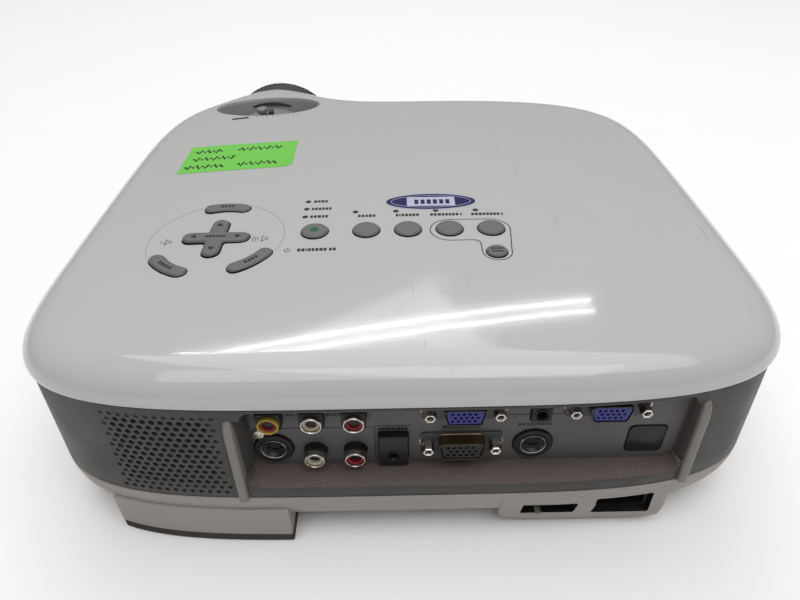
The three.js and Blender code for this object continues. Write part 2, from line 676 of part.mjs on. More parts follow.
const BOARD_Y = 125; // rear face of the upright board that carries the sockets
const PHONO_JACKS = [
  { name: 'video_in_jack', x: 48.2, z: 62.3, tint: 'yellow' },
  { name: 'audio_left_jack', x: 32.8, z: 62.3, tint: 'white' },
  { name: 'audio_right_jack', x: 17.6, z: 62.3, tint: 'red' },
  { name: 'svideo_audio_left_jack', x: 33.3, z: 42.8, tint: 'white' },
  { name: 'svideo_audio_right_jack', x: 18.1, z: 42.8, tint: 'red' },
];
const ROUND_SOCKETS = [
  { name: 'svideo_socket', x: 48.9, z: 45 },
  { name: 'pc_control_socket', x: -48.9, z: 45 },
];
const WIDE_SOCKETS = [
  { name: 'computer_1_socket', x: -21.9, z: 65.6, tint: 'socketBlue' },
  { name: 'computer_2_socket', x: -73.9, z: 65.9, tint: 'socketBlue' },
  { name: 'monitor_out_socket', x: -21.8, z: 46.4, tint: 'steel' },
];
const AUDIO_OUT = { x: 3.7, z: 44.6, width: 11, height: 16, hole: 41.6 };
const MINI_JACK = { x: -50.4, z: 61.6, width: 7.4, height: 7.4, hole: 61.6 };
const REAR_SENSOR = { x: -91.5, z: 46.2, width: 14, height: 14.4 };
const PHONO_RADIUS = 4.15;
const DIN_RADIUS = 7.4;
const SCREW_PITCH = 25;

function phonoJack() {
  const barrel = bar('y', PHONO_RADIUS, RECESS.plateY - 4, TIP_Y, [0, 0], 20);
  const seat = block([-5.4, BOARD_Y + GAP, -5.4], [5.4, RECESS.plateY - PLATE - GAP, 5.4]);
  const wellRoom = bar('y', PHONO_RADIUS - 0.5, TIP_Y - 3.5, TIP_Y + 1, [0, 0], 20);
  const well = cut(wellRoom, bar('y', 2.6, 100, TIP_Y + 2, [0, 0], 16));
  const pinHole = bar('y', 1.6, TIP_Y - 3.8, TIP_Y + 1, [0, 0], 10);
  return cut(join(barrel, seat), well, pinHole);
}

function roundSocket() {
  const { plateY } = RECESS;
  const body = bar('y', DIN_RADIUS, plateY - 6, plateY + 1.2, [0, 0], 28);
  const seat = block([-6.6, BOARD_Y + GAP, -6.6], [6.6, plateY - PLATE - GAP, 6.6]);
  const well = bar('y', 4.9, plateY - 2, plateY + 3, [0, 0], 24);
  const key = block([-1.3, plateY - 2.5, -2.4], [1.3, plateY + 0.6, 0.2]);
  return join(cut(join(body, seat), well), key);
}

// Outline of a 15-way shell: a flat box with its lower side drawn in.
function wideShellShape(grow) {
  const [wide, narrow, half] = [8.3 + grow, 7.2 + grow, 4.1 + grow];
  const corners = [[-narrow, -half], [narrow, -half], [wide, half], [-wide, half]];
  return new THREE.Shape(corners.map(([x, z]) => new THREE.Vector2(x, z)));
}

function wideSocket() {
  const { plateY } = RECESS;
  const flange = block([-15.3, plateY + GAP, -6], [15.3, plateY + 1.1, 6]);
  const body = block([-9.4, BOARD_Y + GAP, -5], [9.4, plateY + 1, 5]);
  const shell = wallPrism(wideShellShape(0), plateY, TIP_Y - 0.2);
  const well = wallPrism(wideShellShape(-0.6), TIP_Y - 1.2, TIP_Y + 1);
  const screws = [-1, 1].map((side) => {
    const at = [(side * SCREW_PITCH) / 2, 0];
    return cut(bar('y', 2.5, plateY + 0.5, TIP_Y, at, 6), bar('y', 1.4, TIP_Y - 2, TIP_Y + 1, at, 10));
  });
  return join(cut(join(flange, body, shell), well), ...screws);
}

function squareJack({ width, height, z, hole }, reach) {
  const { plateY } = RECESS;
  const front = block([-width / 2, BOARD_Y + GAP, -height / 2], [width / 2, plateY + reach, height / 2]);
  return cut(front, bar('y', 1.8, plateY - 3, plateY + reach + 1, [0, hole - z], 16));
}

function terminalPlate() {
  const { left, right, floorZ, plateY } = RECESS;
  const plate = block([right + GAP, plateY - PLATE, floorZ + GAP], [left - GAP, plateY, RIM_Z - 2 * GAP]);
  const lowY = plateY - 10;
  const highY = plateY + 10;
  const holes = [
    ...PHONO_JACKS.map(({ x, z }) => bar('y', PHONO_RADIUS + GAP, lowY, highY, [x, z], 20)),
    ...ROUND_SOCKETS.map(({ x, z }) => bar('y', DIN_RADIUS + GAP, lowY, highY, [x, z], 28)),
    ...WIDE_SOCKETS.map(({ x, z }) => block([x - 9.7, lowY, z - 5.3], [x + 9.7, highY, z + 5.3])),
    ...[AUDIO_OUT, MINI_JACK, REAR_SENSOR].map(({ x, z, width, height }) => {
      const [halfWidth, halfHeight] = [width / 2 + GAP, height / 2 + GAP];
      return block([x - halfWidth, lowY, z - halfHeight], [x + halfWidth, highY, z + halfHeight]);
    }),
  ];
  return cut(plate, ...holes);
}

part('terminal_plate', terminalPlate(), MATERIALS.plateGrey);
PHONO_JACKS.forEach(({ name, x, z, tint }) => part(name, phonoJack(), MATERIALS[tint], [x, 0, z]));
ROUND_SOCKETS.forEach(({ name, x, z }) => part(name, roundSocket(), MATERIALS.black, [x, 0, z]));
WIDE_SOCKETS.forEach(({ name, x, z, tint }) => part(name, wideSocket(), MATERIALS[tint], [x, 0, z]));
part('audio_out_jack', squareJack(AUDIO_OUT, 3), MATERIALS.black, [AUDIO_OUT.x, 0, AUDIO_OUT.z]);
part('computer_audio_jack', squareJack(MINI_JACK, 1.6), MATERIALS.black, [MINI_JACK.x, 0, MINI_JACK.z]);
const sensorOutline = roundedRect(REAR_SENSOR.x, REAR_SENSOR.z, REAR_SENSOR.width, REAR_SENSOR.height, 2.5);
const sensorWindow = wallPrism(sensorOutline, RECESS.plateY - 3, RECESS.plateY + 0.6, 4);
part('rear_sensor_window', sensorWindow, MATERIALS.smoked);
const socketBoard = block([RECESS.right + 3, BOARD_Y - 1.6, 34], [RECESS.left - 2, BOARD_Y, 74]);
part('terminal_board', socketBoard, MATERIALS.board);

// ---------------------------------------------------------------- mains switch and inlet

// The body of a panel part that is let into the inlet block, with a well open to the rear.
function welledBox(place, sideWall, topWall) {
  const { width, height, rearY, bodyDepth, wellDepth } = place;
  const [halfWidth, halfHeight] = [width / 2 - GAP, height / 2 - GAP];
  const body = centredBlock(place, halfWidth, halfHeight, rearY - bodyDepth, rearY);
  const well = centredBlock(place, halfWidth - sideWall, halfHeight - topWall, rearY - wellDepth, rearY + 1);
  return cut(body, well);
}

// Seen from above: two faces that meet at a low ridge, tipped towards the end marked off.
const ROCKER = { pivotY: 142, tilt: 0.12 };
function rocker() {
  const half = SWITCH.width / 2 - 2.2;
  const halfHeight = SWITCH.height / 2 - 1.6;
  const outline = new THREE.Shape();
  outline.moveTo(-half, -0.6);
  outline.lineTo(half, -0.6);
  outline.lineTo(half, 2.2);
  outline.lineTo(0, 3.4);
  outline.lineTo(-half, 2.2);
  const paddle = new THREE.ExtrudeGeometry(outline, { depth: 2 * halfHeight, bevelEnabled: false });
  paddle.rotateZ(-ROCKER.tilt).translate(SWITCH.x, ROCKER.pivotY, SWITCH.z - halfHeight);
  return solid(paddle);
}

function acInlet() {
  const { x, z, rearY, wellDepth } = INLET;
  const pins = [-7, 0, 7].map((offset) => {
    const pinZ = z + (offset === 0 ? 1.4 : -1.4);
    return block([x + offset - 1, rearY - wellDepth - 1, pinZ - 2], [x + offset + 1, rearY - 6.5, pinZ + 2]);
  });
  return join(welledBox(INLET, 1.4, 1.2), ...pins);
}

part('power_switch_body', welledBox(SWITCH, 0.8, 0.8), MATERIALS.black);
part('power_switch_rocker', rocker(), MATERIALS.black);
part('ac_inlet', acInlet(), MATERIALS.black);

// ---------------------------------------------------------------- what is inside

function opticalEngine() {
  const body = block([46, -59, 18], [119, -8, 76]);
  const arm = block([70, -9, 22], [119, 16, 72]);
  const bore = bar('y', 18, -70, -30, [LENS.x, LENS.z], 32);
  return cut(join(body, arm), bore);
}

function lampHousing() {
  const box = block([60, 20, 12], [124, 100, 74]);
  const room = block([63, 10, 15], [121, 96, 71]);
  return cut(box, room);
}

function lampReflector() {
  const bowl = [0, 0.25, 0.5, 0.75, 1].map((step) => [8 + 18 * step, 74 - 30 * step * step]);
  const inside = [1, 0.75, 0.5, 0.25, 0].map((step) => [6 + 18.4 * step, 72.5 - 28.5 * step * step]);
  const neck = [[0, 86], [8, 86]];
  return turned([...neck, ...bowl, ...inside, [0, 72.5]], 92, 43, 18);
}

function fanFrame() {
  const { x, y, z, size, depth, holeRadius } = FAN;
  const half = size / 2;
  const frame = block([x - half, y, z - half], [x + half, y + depth, z + half]);
  const hole = bar('y', holeRadius, y - 1, y + depth + 1, [x, z], 36);
  const spokes = [0, 1].map((turn) => {
    const [wide, tall] = turn ? [2, half - 1] : [half - 1, 2];
    return block([x - wide, y, z - tall], [x + wide, y + 2, z + tall]);
  });
  return join(cut(frame, hole), ...spokes);
}

function fanRotor() {
  const { x, y, z, depth, bladeRadius } = FAN;
  const hub = bar('y', 10, y + 3, y + depth - 1, [x, z], 24);
  const blades = [0, 1, 2, 3, 4, 5, 6].map((index) => {
    const blade = new THREE.BoxGeometry(bladeRadius - 8, 1.2, 11);
    blade.rotateX(0.7).translate((bladeRadius + 8) / 2, 0, 0).rotateY((index / 7) * 2 * Math.PI);
    return solid(blade.translate(x, y + 8.5, z));
  });
  return join(hub, ...blades);
}

function mainBoard() {
  const board = block([-114, -70, 46], [26, 96, 47.6]);
  const chips = [
    [-90, -20, 28, 28],
    [-40, 10, 20, 20],
    [-96, 40, 16, 24],
    [-20, -40, 14, 14],
    [-60, 66, 30, 10],
  ];
  const packages = chips.map(([x, y, width, length]) => block([x, y, 47], [x + width, y + length, 50]));
  return join(board, ...packages);
}

function powerSupply() {
  const board = block([-124, -50, 14], [-36, 92, 15.6]);
  const cans = [[-100, -20], [-100, 4], [-78, 30]].map((at) => bar('z', 9, 15, 40, at, 20));
  const transformer = block([-70, -10, 15], [-42, 22, 40]);
  const sink = block([-118, 50, 15], [-60, 56, 42]);
  return join(board, ...cans, transformer, sink);
}

function speaker() {
  const cone = bar('x', 17, -134, -126, [62, 56], 32);
  const magnet = bar('x', 10, -127, -118, [62, 56], 24);
  return join(cone, magnet);
}

part('optical_engine', opticalEngine(), MATERIALS.casting);
part('lamp_housing', lampHousing(), MATERIALS.darkGrey);
part('lamp_reflector', lampReflector(), MATERIALS.steel);
part('exhaust_fan_frame', fanFrame(), MATERIALS.black);
part('exhaust_fan_rotor', fanRotor(), MATERIALS.black);
part('main_board', mainBoard(), MATERIALS.board);
part('power_supply', powerSupply(), MATERIALS.board);
part('speaker', speaker(), MATERIALS.black);

export default projector;
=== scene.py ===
"""Looks of a portable home projector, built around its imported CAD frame.

Lengths are millimetres on the bench, and metres once a piece is delivered.
The lens faces -Y, the sockets face +Y, and the object stands on z = 0.
"""

import logging
import math
from dataclasses import dataclass
from enum import Enum
from functools import lru_cache
from typing import Callable, Iterable, Sequence

import bmesh
import bpy
from mathutils import Matrix, Vector


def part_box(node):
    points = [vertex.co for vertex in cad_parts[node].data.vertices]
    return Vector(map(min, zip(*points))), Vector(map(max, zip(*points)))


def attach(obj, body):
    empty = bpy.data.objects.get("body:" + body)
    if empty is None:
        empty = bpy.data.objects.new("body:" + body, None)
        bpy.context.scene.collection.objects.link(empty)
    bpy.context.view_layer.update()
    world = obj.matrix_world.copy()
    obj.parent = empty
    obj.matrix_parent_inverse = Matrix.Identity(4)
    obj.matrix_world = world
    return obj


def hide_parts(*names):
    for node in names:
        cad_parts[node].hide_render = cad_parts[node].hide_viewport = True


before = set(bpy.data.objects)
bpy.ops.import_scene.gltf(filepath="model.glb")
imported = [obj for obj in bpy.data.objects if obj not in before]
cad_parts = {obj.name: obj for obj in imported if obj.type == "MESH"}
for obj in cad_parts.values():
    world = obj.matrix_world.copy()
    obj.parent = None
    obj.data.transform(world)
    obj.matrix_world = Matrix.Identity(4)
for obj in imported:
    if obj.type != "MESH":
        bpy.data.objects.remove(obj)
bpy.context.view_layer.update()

LOG = logging.getLogger("projector")
MM = 0.001

Point = tuple[float, float]
Rgb = tuple[float, float, float]
Ring = list[Vector]
Thing = bpy.types.Object
Tree = bpy.types.NodeTree
Node = bpy.types.Node
Socket = bpy.types.NodeSocket
Span = tuple[float, float, float, float]
Height = Callable[[float, float], float]


class Axis(Enum):
    """The direction that a bar, prism or turned piece runs in."""

    X = "x"
    Y = "y"
    Z = "z"

    def place(self, across: Point, level: float) -> Vector:
        """Turns a flat point and a level along this axis into a point in space."""
        a, b = across
        if self is Axis.X:
            return Vector((level, a, b))
        if self is Axis.Y:
            return Vector((a, level, b))
        return Vector((a, b, level))


class Carve(Enum):
    """What one solid does to another."""

    CUT = "DIFFERENCE"
    JOIN = "UNION"
    KEEP = "INTERSECT"


# ------------------------------------------------------------------ finishes


@dataclass(frozen=True)
class Finish:
    """A moulded, painted or metal surface with drifting colour and a fine grain.

    Scales count features per metre, and the relief is in millimetres.
    """

    name: str
    color: Rgb
    roughness: float = 0.5
    metallic: float = 0.0
    coat: float = 0.0
    drift: float = 0.06
    drift_scale: float = 22.0
    relief: float = 0.03
    relief_scale: float = 1800.0
    glow: float = 0.0
    clear: float = 0.0
    dust: float = 0.0
    gleam: float = 0.3

    def material(self) -> bpy.types.Material:
        """Returns this finish as a node material, made the first time it is asked for."""
        label = "finish_" + self.name
        found = bpy.data.materials.get(label)
        if found:
            return found
        made = bpy.data.materials.new(label)
        made.use_nodes = True
        tree = made.node_tree
        shader = tree.nodes["Principled BSDF"]
        shader.inputs["Metallic"].default_value = self.metallic
        shader.inputs["Coat Weight"].default_value = self.coat
        shader.inputs["Specular IOR Level"].default_value = self.gleam
        shader.inputs["Transmission Weight"].default_value = self.clear
        shader.inputs["Emission Strength"].default_value = self.glow
        shader.inputs["Emission Color"].default_value = (*self.color, 1)
        where = tree.nodes.new("ShaderNodeTexCoord").outputs["Object"]
        self.dress(tree, shader, where)
        return made

    def dress(self, tree: Tree, shader: Node, where: Socket) -> None:
        """Lays the colour, gloss and grain on the shader.

        Args:
            tree: The node tree that is being filled.
            shader: Its principled shader.
            where: The object's own coordinates.
        """
        paint = self.drifting_paint(tree, where)
        tree.links.new(paint, shader.inputs["Base Color"])
        haze = self.noise(tree, where, self.drift_scale * 3, 3)
        gloss = self.spread(tree, haze, self.roughness * 0.85, min(1.0, self.roughness * 1.15))
        tree.links.new(gloss, shader.inputs["Roughness"])
        self.grain(tree, shader, where)

    def drifting_paint(self, tree: Tree, where: Socket) -> Socket:
        """Returns the base colour, a little darker and warmer in soft patches."""
        dark = tuple(c * (1 - self.drift * (1 + 0.3 * i)) for i, c in enumerate(self.color))
        light = tuple(min(1.0, c * (1 + self.drift * 0.5)) for c in self.color)
        patches = self.noise(tree, where, self.drift_scale, 4)
        paint = self.blend(tree, patches, dark, light)
        if self.dust > 0:
            grit = self.spread(tree, self.noise(tree, where, 900, 6), 0.0, self.dust, 0.56, 0.74)
            paint = self.blend(tree, grit, paint, (0.33, 0.30, 0.27))
        return paint

    def grain(self, tree: Tree, shader: Node, where: Socket) -> None:
        """Adds the fine moulded relief."""
        bump = tree.nodes.new("ShaderNodeBump")
        bump.inputs["Strength"].default_value = 0.6
        bump.inputs["Distance"].default_value = self.relief * MM
        tree.links.new(self.noise(tree, where, self.relief_scale, 2), bump.inputs["Height"])
        tree.links.new(bump.outputs["Normal"], shader.inputs["Normal"])

    @staticmethod
    def noise(
        tree: Tree,
        where: Socket,
        scale: float,
        detail: float,
        stretch: Sequence[float] = (1, 1, 1),
        turn: float = 0.0,
        offset: Sequence[float] = (0, 0, 0),
    ) -> Socket:
        """Returns noise from 0 to 1.

        Args:
            tree: The node tree.
            where: Coordinates to read.
            scale: Features per metre.
            detail: Octaves of finer noise.
            stretch: Scale along each axis, for streaks.
            turn: Turn about Z, in radians.
            offset: Shift of the pattern, so that two layers differ.

        Returns:
            The noise value's socket.
        """
        mapping = tree.nodes.new("ShaderNodeMapping")
        mapping.inputs["Scale"].default_value = stretch
        mapping.inputs["Rotation"].default_value = (0, 0, turn)
        mapping.inputs["Location"].default_value = offset
        made = tree.nodes.new("ShaderNodeTexNoise")
        made.inputs["Scale"].default_value = scale
        made.inputs["Detail"].default_value = detail
        tree.links.new(where, mapping.inputs["Vector"])
        tree.links.new(mapping.outputs["Vector"], made.inputs["Vector"])
        return made.outputs["Fac"]

    @staticmethod
    def spread(
        tree: Tree,
        value: Socket,
        low: float,
        high: float,
        start: float = 0.3,
        end: float = 0.7,
    ) -> Socket:
        """Returns value, stretched so that start to end becomes low to high, and held beyond."""
        made = tree.nodes.new("ShaderNodeMapRange")
        settings = {"From Min": start, "From Max": end, "To Min": low, "To Max": high}
        for key, number in settings.items():
            made.inputs[key].default_value = number
        tree.links.new(value, made.inputs["Value"])
        return made.outputs["Result"]

    @staticmethod
    def times(tree: Tree, *values: Socket) -> Socket:
        """Returns the product of several values."""
        product = values[0]
        for value in values[1:]:
            made = tree.nodes.new("ShaderNodeMath")
            made.operation = "MULTIPLY"
            tree.links.new(product, made.inputs[0])
            tree.links.new(value, made.inputs[1])
            product = made.outputs["Value"]
        return product

    @staticmethod
    def blend(
        tree: Tree,
        share: Socket,
        first: Rgb | Socket,
        second: Rgb | Socket,
    ) -> Socket:
        """Returns a colour between two colours or colour sockets."""
        made = tree.nodes.new("ShaderNodeMix")
        made.data_type = "RGBA"
        tree.links.new(share, made.inputs["Factor"])
        for key, value in (("A", first), ("B", second)):
            socket = next(s for s in made.inputs if s.name == key and s.type == "RGBA")
            if isinstance(value, tuple):
                socket.default_value = (*value, 1)
            else:
                tree.links.new(value, socket)
        return next(s for s in made.outputs if s.type == "RGBA")


@dataclass(frozen=True)
class WornGloss(Finish):
    """The glossy top: long fine scratches, rubbed scuffs and specks of dirt on its busier side."""

    scuff: Rgb = (0.30, 0.28, 0.27)

    def dress(self, tree: Tree, shader: Node, where: Socket) -> None:
        """Lays worn paint over the plain finish, and dulls it where it is worn."""
        paint = self.drifting_paint(tree, where)
        split = tree.nodes.new("ShaderNodeSeparateXYZ")
        tree.links.new(where, split.inputs["Vector"])
        side = self.spread(tree, split.outputs["X"], 1.0, 0.12, -0.075, 0.055)
        busy = self.times(
            tree, side, self.spread(tree, self.noise(tree, where, 16, 2), 0, 1, 0.48, 0.62)
        )
        marks = (
            (620, (1, 0.05, 1), 0.95, 0.73, 0.76),
            (480, (1, 0.04, 1), -0.42, 0.73, 0.76),
            (800, (1, 0.06, 1), 1.35, 0.735, 0.765),
        )
        for number, (scale, stretch, turn, start, end) in enumerate(marks):
            line = self.noise(tree, where, scale, 1, stretch, turn, (number * 3.1, 1.7, 0))
            share = self.times(tree, self.spread(tree, line, 0, 0.6, start, end), busy)
            paint = self.blend(tree, share, paint, self.scuff)
        specks = self.spread(tree, self.noise(tree, where, 420, 2), 0, 0.7, 0.77, 0.80)
        paint = self.blend(tree, self.times(tree, specks, side), paint, self.scuff)
        tree.links.new(paint, shader.inputs["Base Color"])
        rubbed = self.times(
            tree, busy, self.spread(tree, self.noise(tree, where, 60, 5), 0, 1, 0.5, 0.68)
        )
        dull = self.spread(tree, rubbed, self.roughness, self.roughness + 0.16, 0.0, 1.0)
        tree.links.new(dull, shader.inputs["Roughness"])
        self.grain(tree, shader, where)


@dataclass(frozen=True)
class Brushed(Finish):
    """Bare or plated metal with fine streaks along one axis."""

    streak: Sequence[float] = (1, 0.05, 1)

    def grain(self, tree: Tree, shader: Node, where: Socket) -> None:
        """Adds streaks instead of a moulded grain."""
        bump = tree.nodes.new("ShaderNodeBump")
        bump.inputs["Strength"].default_value = 0.5
        bump.inputs["Distance"].default_value = self.relief * MM
        lines = self.noise(tree, where, self.relief_scale, 3, self.streak)
        tree.links.new(lines, bump.inputs["Height"])
        tree.links.new(bump.outputs["Normal"], shader.inputs["Normal"])


@dataclass(frozen=True)
class Traced(Finish):
    """A circuit board: solder resist over straight copper tracks."""

    copper: Rgb = (0.11, 0.36, 0.16)

    def drifting_paint(self, tree: Tree, where: Socket) -> Socket:
        """Returns the resist with lighter tracks running through it."""
        base = super().drifting_paint(tree, where)
        cells = tree.nodes.new("ShaderNodeTexVoronoi")
        cells.distance = "CHEBYCHEV"
        cells.inputs["Scale"].default_value = 260
        tree.links.new(where, cells.inputs["Vector"])
        return self.blend(
            tree, self.spread(tree, cells.outputs["Distance"], 0, 1, 0.42, 0.46), base, self.copper
        )


class Shop:
    """Every finish of the projector, by the name of what it is on."""

    GLOSS_WHITE = WornGloss(
        "gloss_white_top", (0.48, 0.482, 0.478), 0.075, coat=0.25, gleam=0.5, drift=0.02,
        relief=0.004, relief_scale=260
    )
    # Painted shade: the band's real silver grey is darkened here to the shade that its rear faces
    # are in; the dust is real dirt.
    SHADED_SILVER = Finish(
        "silver_band_painted_shade", (0.058, 0.055, 0.052), 0.5, gleam=0.25, drift=0.05, relief=0.012,
        relief_scale=1600, dust=0.10
    )
    # Painted highlight: a lighter copy of the band's silver for the fins, standing for the light
    # that their rounded tops catch; the dust is real dirt.
    LIT_FIN_SILVER = Finish(
        "fin_silver_painted_highlight", (0.20, 0.193, 0.185), 0.45, drift=0.08, relief=0.012, relief_scale=1600,
        dust=0.10
    )
    SHELF = Finish(
        "recess_shelf", (0.125, 0.100, 0.089), 0.5, drift=0.10, relief=0.02, relief_scale=1400,
        dust=0.25
    )
    WARM_WHITE = Finish(
        "warm_white_base", (0.31, 0.287, 0.265), 0.5, drift=0.05, relief=0.02, relief_scale=1500,
        dust=0.15
    )
    DISH = Finish(
        "lens_dish_grey", (0.22, 0.225, 0.225), 0.38, drift=0.04, relief=0.01, relief_scale=900
    )
    KEY = Finish(
        "key_grey", (0.135, 0.138, 0.134), 0.42, drift=0.05, relief=0.02, relief_scale=1500
    )
    BLACK = Finish(
        "black_moulding", (0.012, 0.012, 0.013), 0.42, drift=0.15, relief=0.02, relief_scale=1200
    )
    DARK = Finish(
        "dark_grey_moulding", (0.055, 0.055, 0.058), 0.5, drift=0.10, relief=0.03, relief_scale=1400
    )
    PANEL = Finish(
        "terminal_panel", (0.105, 0.100, 0.102), 0.48, metallic=0.1, drift=0.06, relief=0.015,
        relief_scale=1700, dust=0.2
    )
    SMOKED = Finish(
        "smoked_window", (0.012, 0.011, 0.011), 0.3, drift=0.1, relief=0.004, relief_scale=500
    )
    RUBBER = Finish(
        "foot_rubber", (0.045, 0.040, 0.037), 0.85, drift=0.15, relief=0.06, relief_scale=1100,
        dust=0.2
    )
    NICKEL = Brushed(
        "nickel_plate", (0.58, 0.56, 0.53), 0.26, metallic=1.0, drift=0.06, relief=0.008,
        relief_scale=900
    )
    # Painted shade: the plate darkened for the shells of the two upper sockets, which sit in the
    # shadow of the rim.
    SHADED_PLATE = Brushed(
        "plate_painted_shade", (0.16, 0.16, 0.17), 0.35, metallic=1.0, drift=0.06, relief=0.008,
        relief_scale=900
    )
    GOLD = Brushed(
        "gilt_plate", (0.22, 0.155, 0.09), 0.28, metallic=1.0, drift=0.06, relief=0.008,
        relief_scale=900
    )
    YELLOW = Finish("yellow_insulator", (0.44, 0.33, 0.06), 0.4, relief=0.01)
    IVORY = Finish("white_insulator", (0.42, 0.38, 0.29), 0.4, relief=0.01)
    RED = Finish("red_insulator", (0.20, 0.012, 0.018), 0.4, relief=0.01)
    BLUE = Finish("blue_insulator", (0.030, 0.034, 0.20), 0.42, relief=0.01)
    INK = Finish("printed_ink", (0.010, 0.010, 0.011), 0.45, drift=0.1, relief=0.002)
    FAINT_INK = Finish("thin_grey_ink", (0.25, 0.25, 0.25), 0.45, drift=0.1, relief=0.002)
    PALE_INK = Finish("pale_ink", (0.33, 0.33, 0.33), 0.5, drift=0.1, relief=0.002)
    GREEN_DOT = Finish("green_key_dot", (0.008, 0.10, 0.05), 0.35, drift=0.05, relief=0.002)
    PAPER = Finish(
        "green_paper", (0.16, 0.54, 0.08), 0.7, drift=0.05, relief=0.02, relief_scale=900
    )
    PEN = Finish("marker_pen", (0.006, 0.006, 0.008), 0.4, drift=0.1, relief=0.002)
    STICKER = Finish("blue_sticker", (0.004, 0.004, 0.075), 0.35, drift=0.06, relief=0.004)
    STICKER_EDGE = Finish("sticker_edge", (0.45, 0.47, 0.60), 0.35, drift=0.05, relief=0.004)
    GLASS = Finish(
        "lens_glass", (0.60, 0.70, 0.82), 0.03, coat=0.4, drift=0.02, relief=0.001, clear=0.85
    )
    BOARD = Traced(
        "circuit_board", (0.02, 0.13, 0.05), 0.4, drift=0.1, relief=0.02, relief_scale=900
    )
    CAST = Brushed(
        "cast_metal", (0.30, 0.31, 0.32), 0.45, metallic=0.9, drift=0.08, relief=0.05,
        relief_scale=700, streak=(1, 1, 1)
    )
    LIGHT_PIPE = Finish("dark_light_pipe", (0.02, 0.021, 0.02), 0.3, drift=0.1, relief=0.002)
    MIRROR = Brushed("reflector_coat", (0.80, 0.80, 0.82), 0.08, metallic=1.0, relief=0.002)


# ------------------------------------------------------------------ bench


class Bench:
    """The shop bench: primitives, edit-mode operators and applied modifiers, in millimetres."""

    @staticmethod
    def clear() -> None:
        """Leaves edit mode and lets go of everything."""
        if bpy.context.object and bpy.context.object.mode != "OBJECT":
            bpy.ops.object.mode_set(mode="OBJECT")
        bpy.ops.object.select_all(action="DESELECT")

    @staticmethod
    def hold(piece: Thing) -> None:
        """Makes one piece the only one that operators act on."""
        Bench.clear()
        piece.select_set(True)
        bpy.context.view_layer.objects.active = piece

    @staticmethod
    def loft(
        rings: Sequence[Ring], caps: tuple[bool, bool] = (True, True), closed: bool = False
    ) -> Thing:
        """Extrudes a circle from ring to ring.

        Args:
            rings: Loops of equal length, in order.
            caps: Whether the first and the last ring are filled.
            closed: Whether the last ring joins on to the first.

        Returns:
            The piece, its faces pointing outwards.
        """
        Bench.clear()
        bpy.ops.mesh.primitive_circle_add(vertices=len(rings[0]))
        piece = bpy.context.object
        bpy.ops.object.mode_set(mode="EDIT")
        bpy.ops.mesh.select_mode(type="VERT")
        net = bmesh.from_edit_mesh(piece.data)
        seat = net.verts.layers.int.new("seat")
        row = net.verts.layers.int.new("row")
        for index, corner in enumerate(net.verts):
            corner[seat] = index
            corner.co = rings[0][index]
        bpy.ops.mesh.select_all(action="SELECT")
        path = [*rings[1:], rings[0]] if closed else rings[1:]
        for number, ring in enumerate(path, 1):
            bpy.ops.mesh.extrude_region_move()
            net = bmesh.from_edit_mesh(piece.data)
            seat = net.verts.layers.int["seat"]
            row = net.verts.layers.int["row"]
            for corner in net.verts:
                if corner.select:
                    corner.co = ring[corner[seat]]
                    corner[row] = number
        if caps[1] and not closed:
            bpy.ops.mesh.edge_face_add()
        if caps[0] and not closed:
            bpy.ops.mesh.select_all(action="DESELECT")
            net = bmesh.from_edit_mesh(piece.data)
            row = net.verts.layers.int["row"]
            for corner in net.verts:
                corner.select = corner[row] == 0
            net.select_flush(True)
            bpy.ops.mesh.edge_face_add()
        Bench.tidy_mesh(piece)
        return piece

    @staticmethod
    def tidy_mesh(piece: Thing) -> None:
        """Merges doubles, turns every face outwards and leaves edit mode."""
        Bench.hold(piece)
        bpy.ops.object.mode_set(mode="EDIT")
        bpy.ops.mesh.select_all(action="SELECT")
        bpy.ops.mesh.remove_doubles(threshold=1e-3)
        bpy.ops.mesh.normals_make_consistent(inside=False)
        bpy.ops.object.mode_set(mode="OBJECT")
        for layer in ("seat", "row"):
            extra = piece.data.attributes.get(layer)
            if extra:
                piece.data.attributes.remove(extra)

    @staticmethod
    def prism(outline: Sequence[Point], low: float, high: float, axis: Axis = Axis.Z) -> Thing:
        """Extrudes a flat outline from one level to another."""
        return Bench.loft([[axis.place(p, level) for p in outline] for level in (low, high)])

    @staticmethod
    def turned(
        profile: Sequence[Point], centre: Point = (0, 0), axis: Axis = Axis.Z, sides: int = 48,
        closed: bool = False
    ) -> Thing:
        """Turns a profile about a line along an axis.

        Args:
            profile: Pairs of radius and level.
            centre: Where the line is, across the axis.
            axis: The line's direction.
            sides: Faces round the piece.
            closed: Whether the profile joins up with itself.

        Returns:
            The turned piece.
        """
        rings = [
            [axis.place(p, level) for p in circle(*centre, radius, sides)]
            for radius, level in profile
        ]
        caps = (profile[0][0] > 0, profile[-1][0] > 0)
        return Bench.loft(rings, caps, closed)

    @staticmethod
    def box(
        low: Sequence[float], high: Sequence[float], radius: float = 0.0, axis: Axis | None = None
    ) -> Thing:
        """Makes a cube primitive to size, and rounds its edges, or only those along one axis."""
        Bench.clear()
        middle = [(a + b) / 2 for a, b in zip(low, high)]
        bpy.ops.mesh.primitive_cube_add(
            size=1, location=middle, scale=[b - a for a, b in zip(low, high)]
        )
        piece = bpy.context.object
        bpy.ops.object.transform_apply(location=True, rotation=True, scale=True)
        if radius > 0:
            bpy.ops.object.mode_set(mode="EDIT")
            net = bmesh.from_edit_mesh(piece.data)
            for edge in net.edges:
                run = edge.verts[0].co - edge.verts[1].co
                along = None if axis is None else "xyz".index(axis.value)
                edge.select_set(along is None or abs(run[along]) > run.length * 0.9)
            bmesh.update_edit_mesh(piece.data)
            bpy.ops.mesh.bevel(offset=radius, segments=5, affect="EDGES")
            bpy.ops.object.mode_set(mode="OBJECT")
        return piece

    @staticmethod
    def modified(piece: Thing, kind: str, **settings: object) -> Thing:
        """Applies one modifier, with its settings, to a piece."""
        Bench.hold(piece)
        change = piece.modifiers.new("change", kind)
        for key, value in settings.items():
            setattr(change, key, value)
        bpy.ops.object.modifier_apply(modifier=change.name)
        return piece

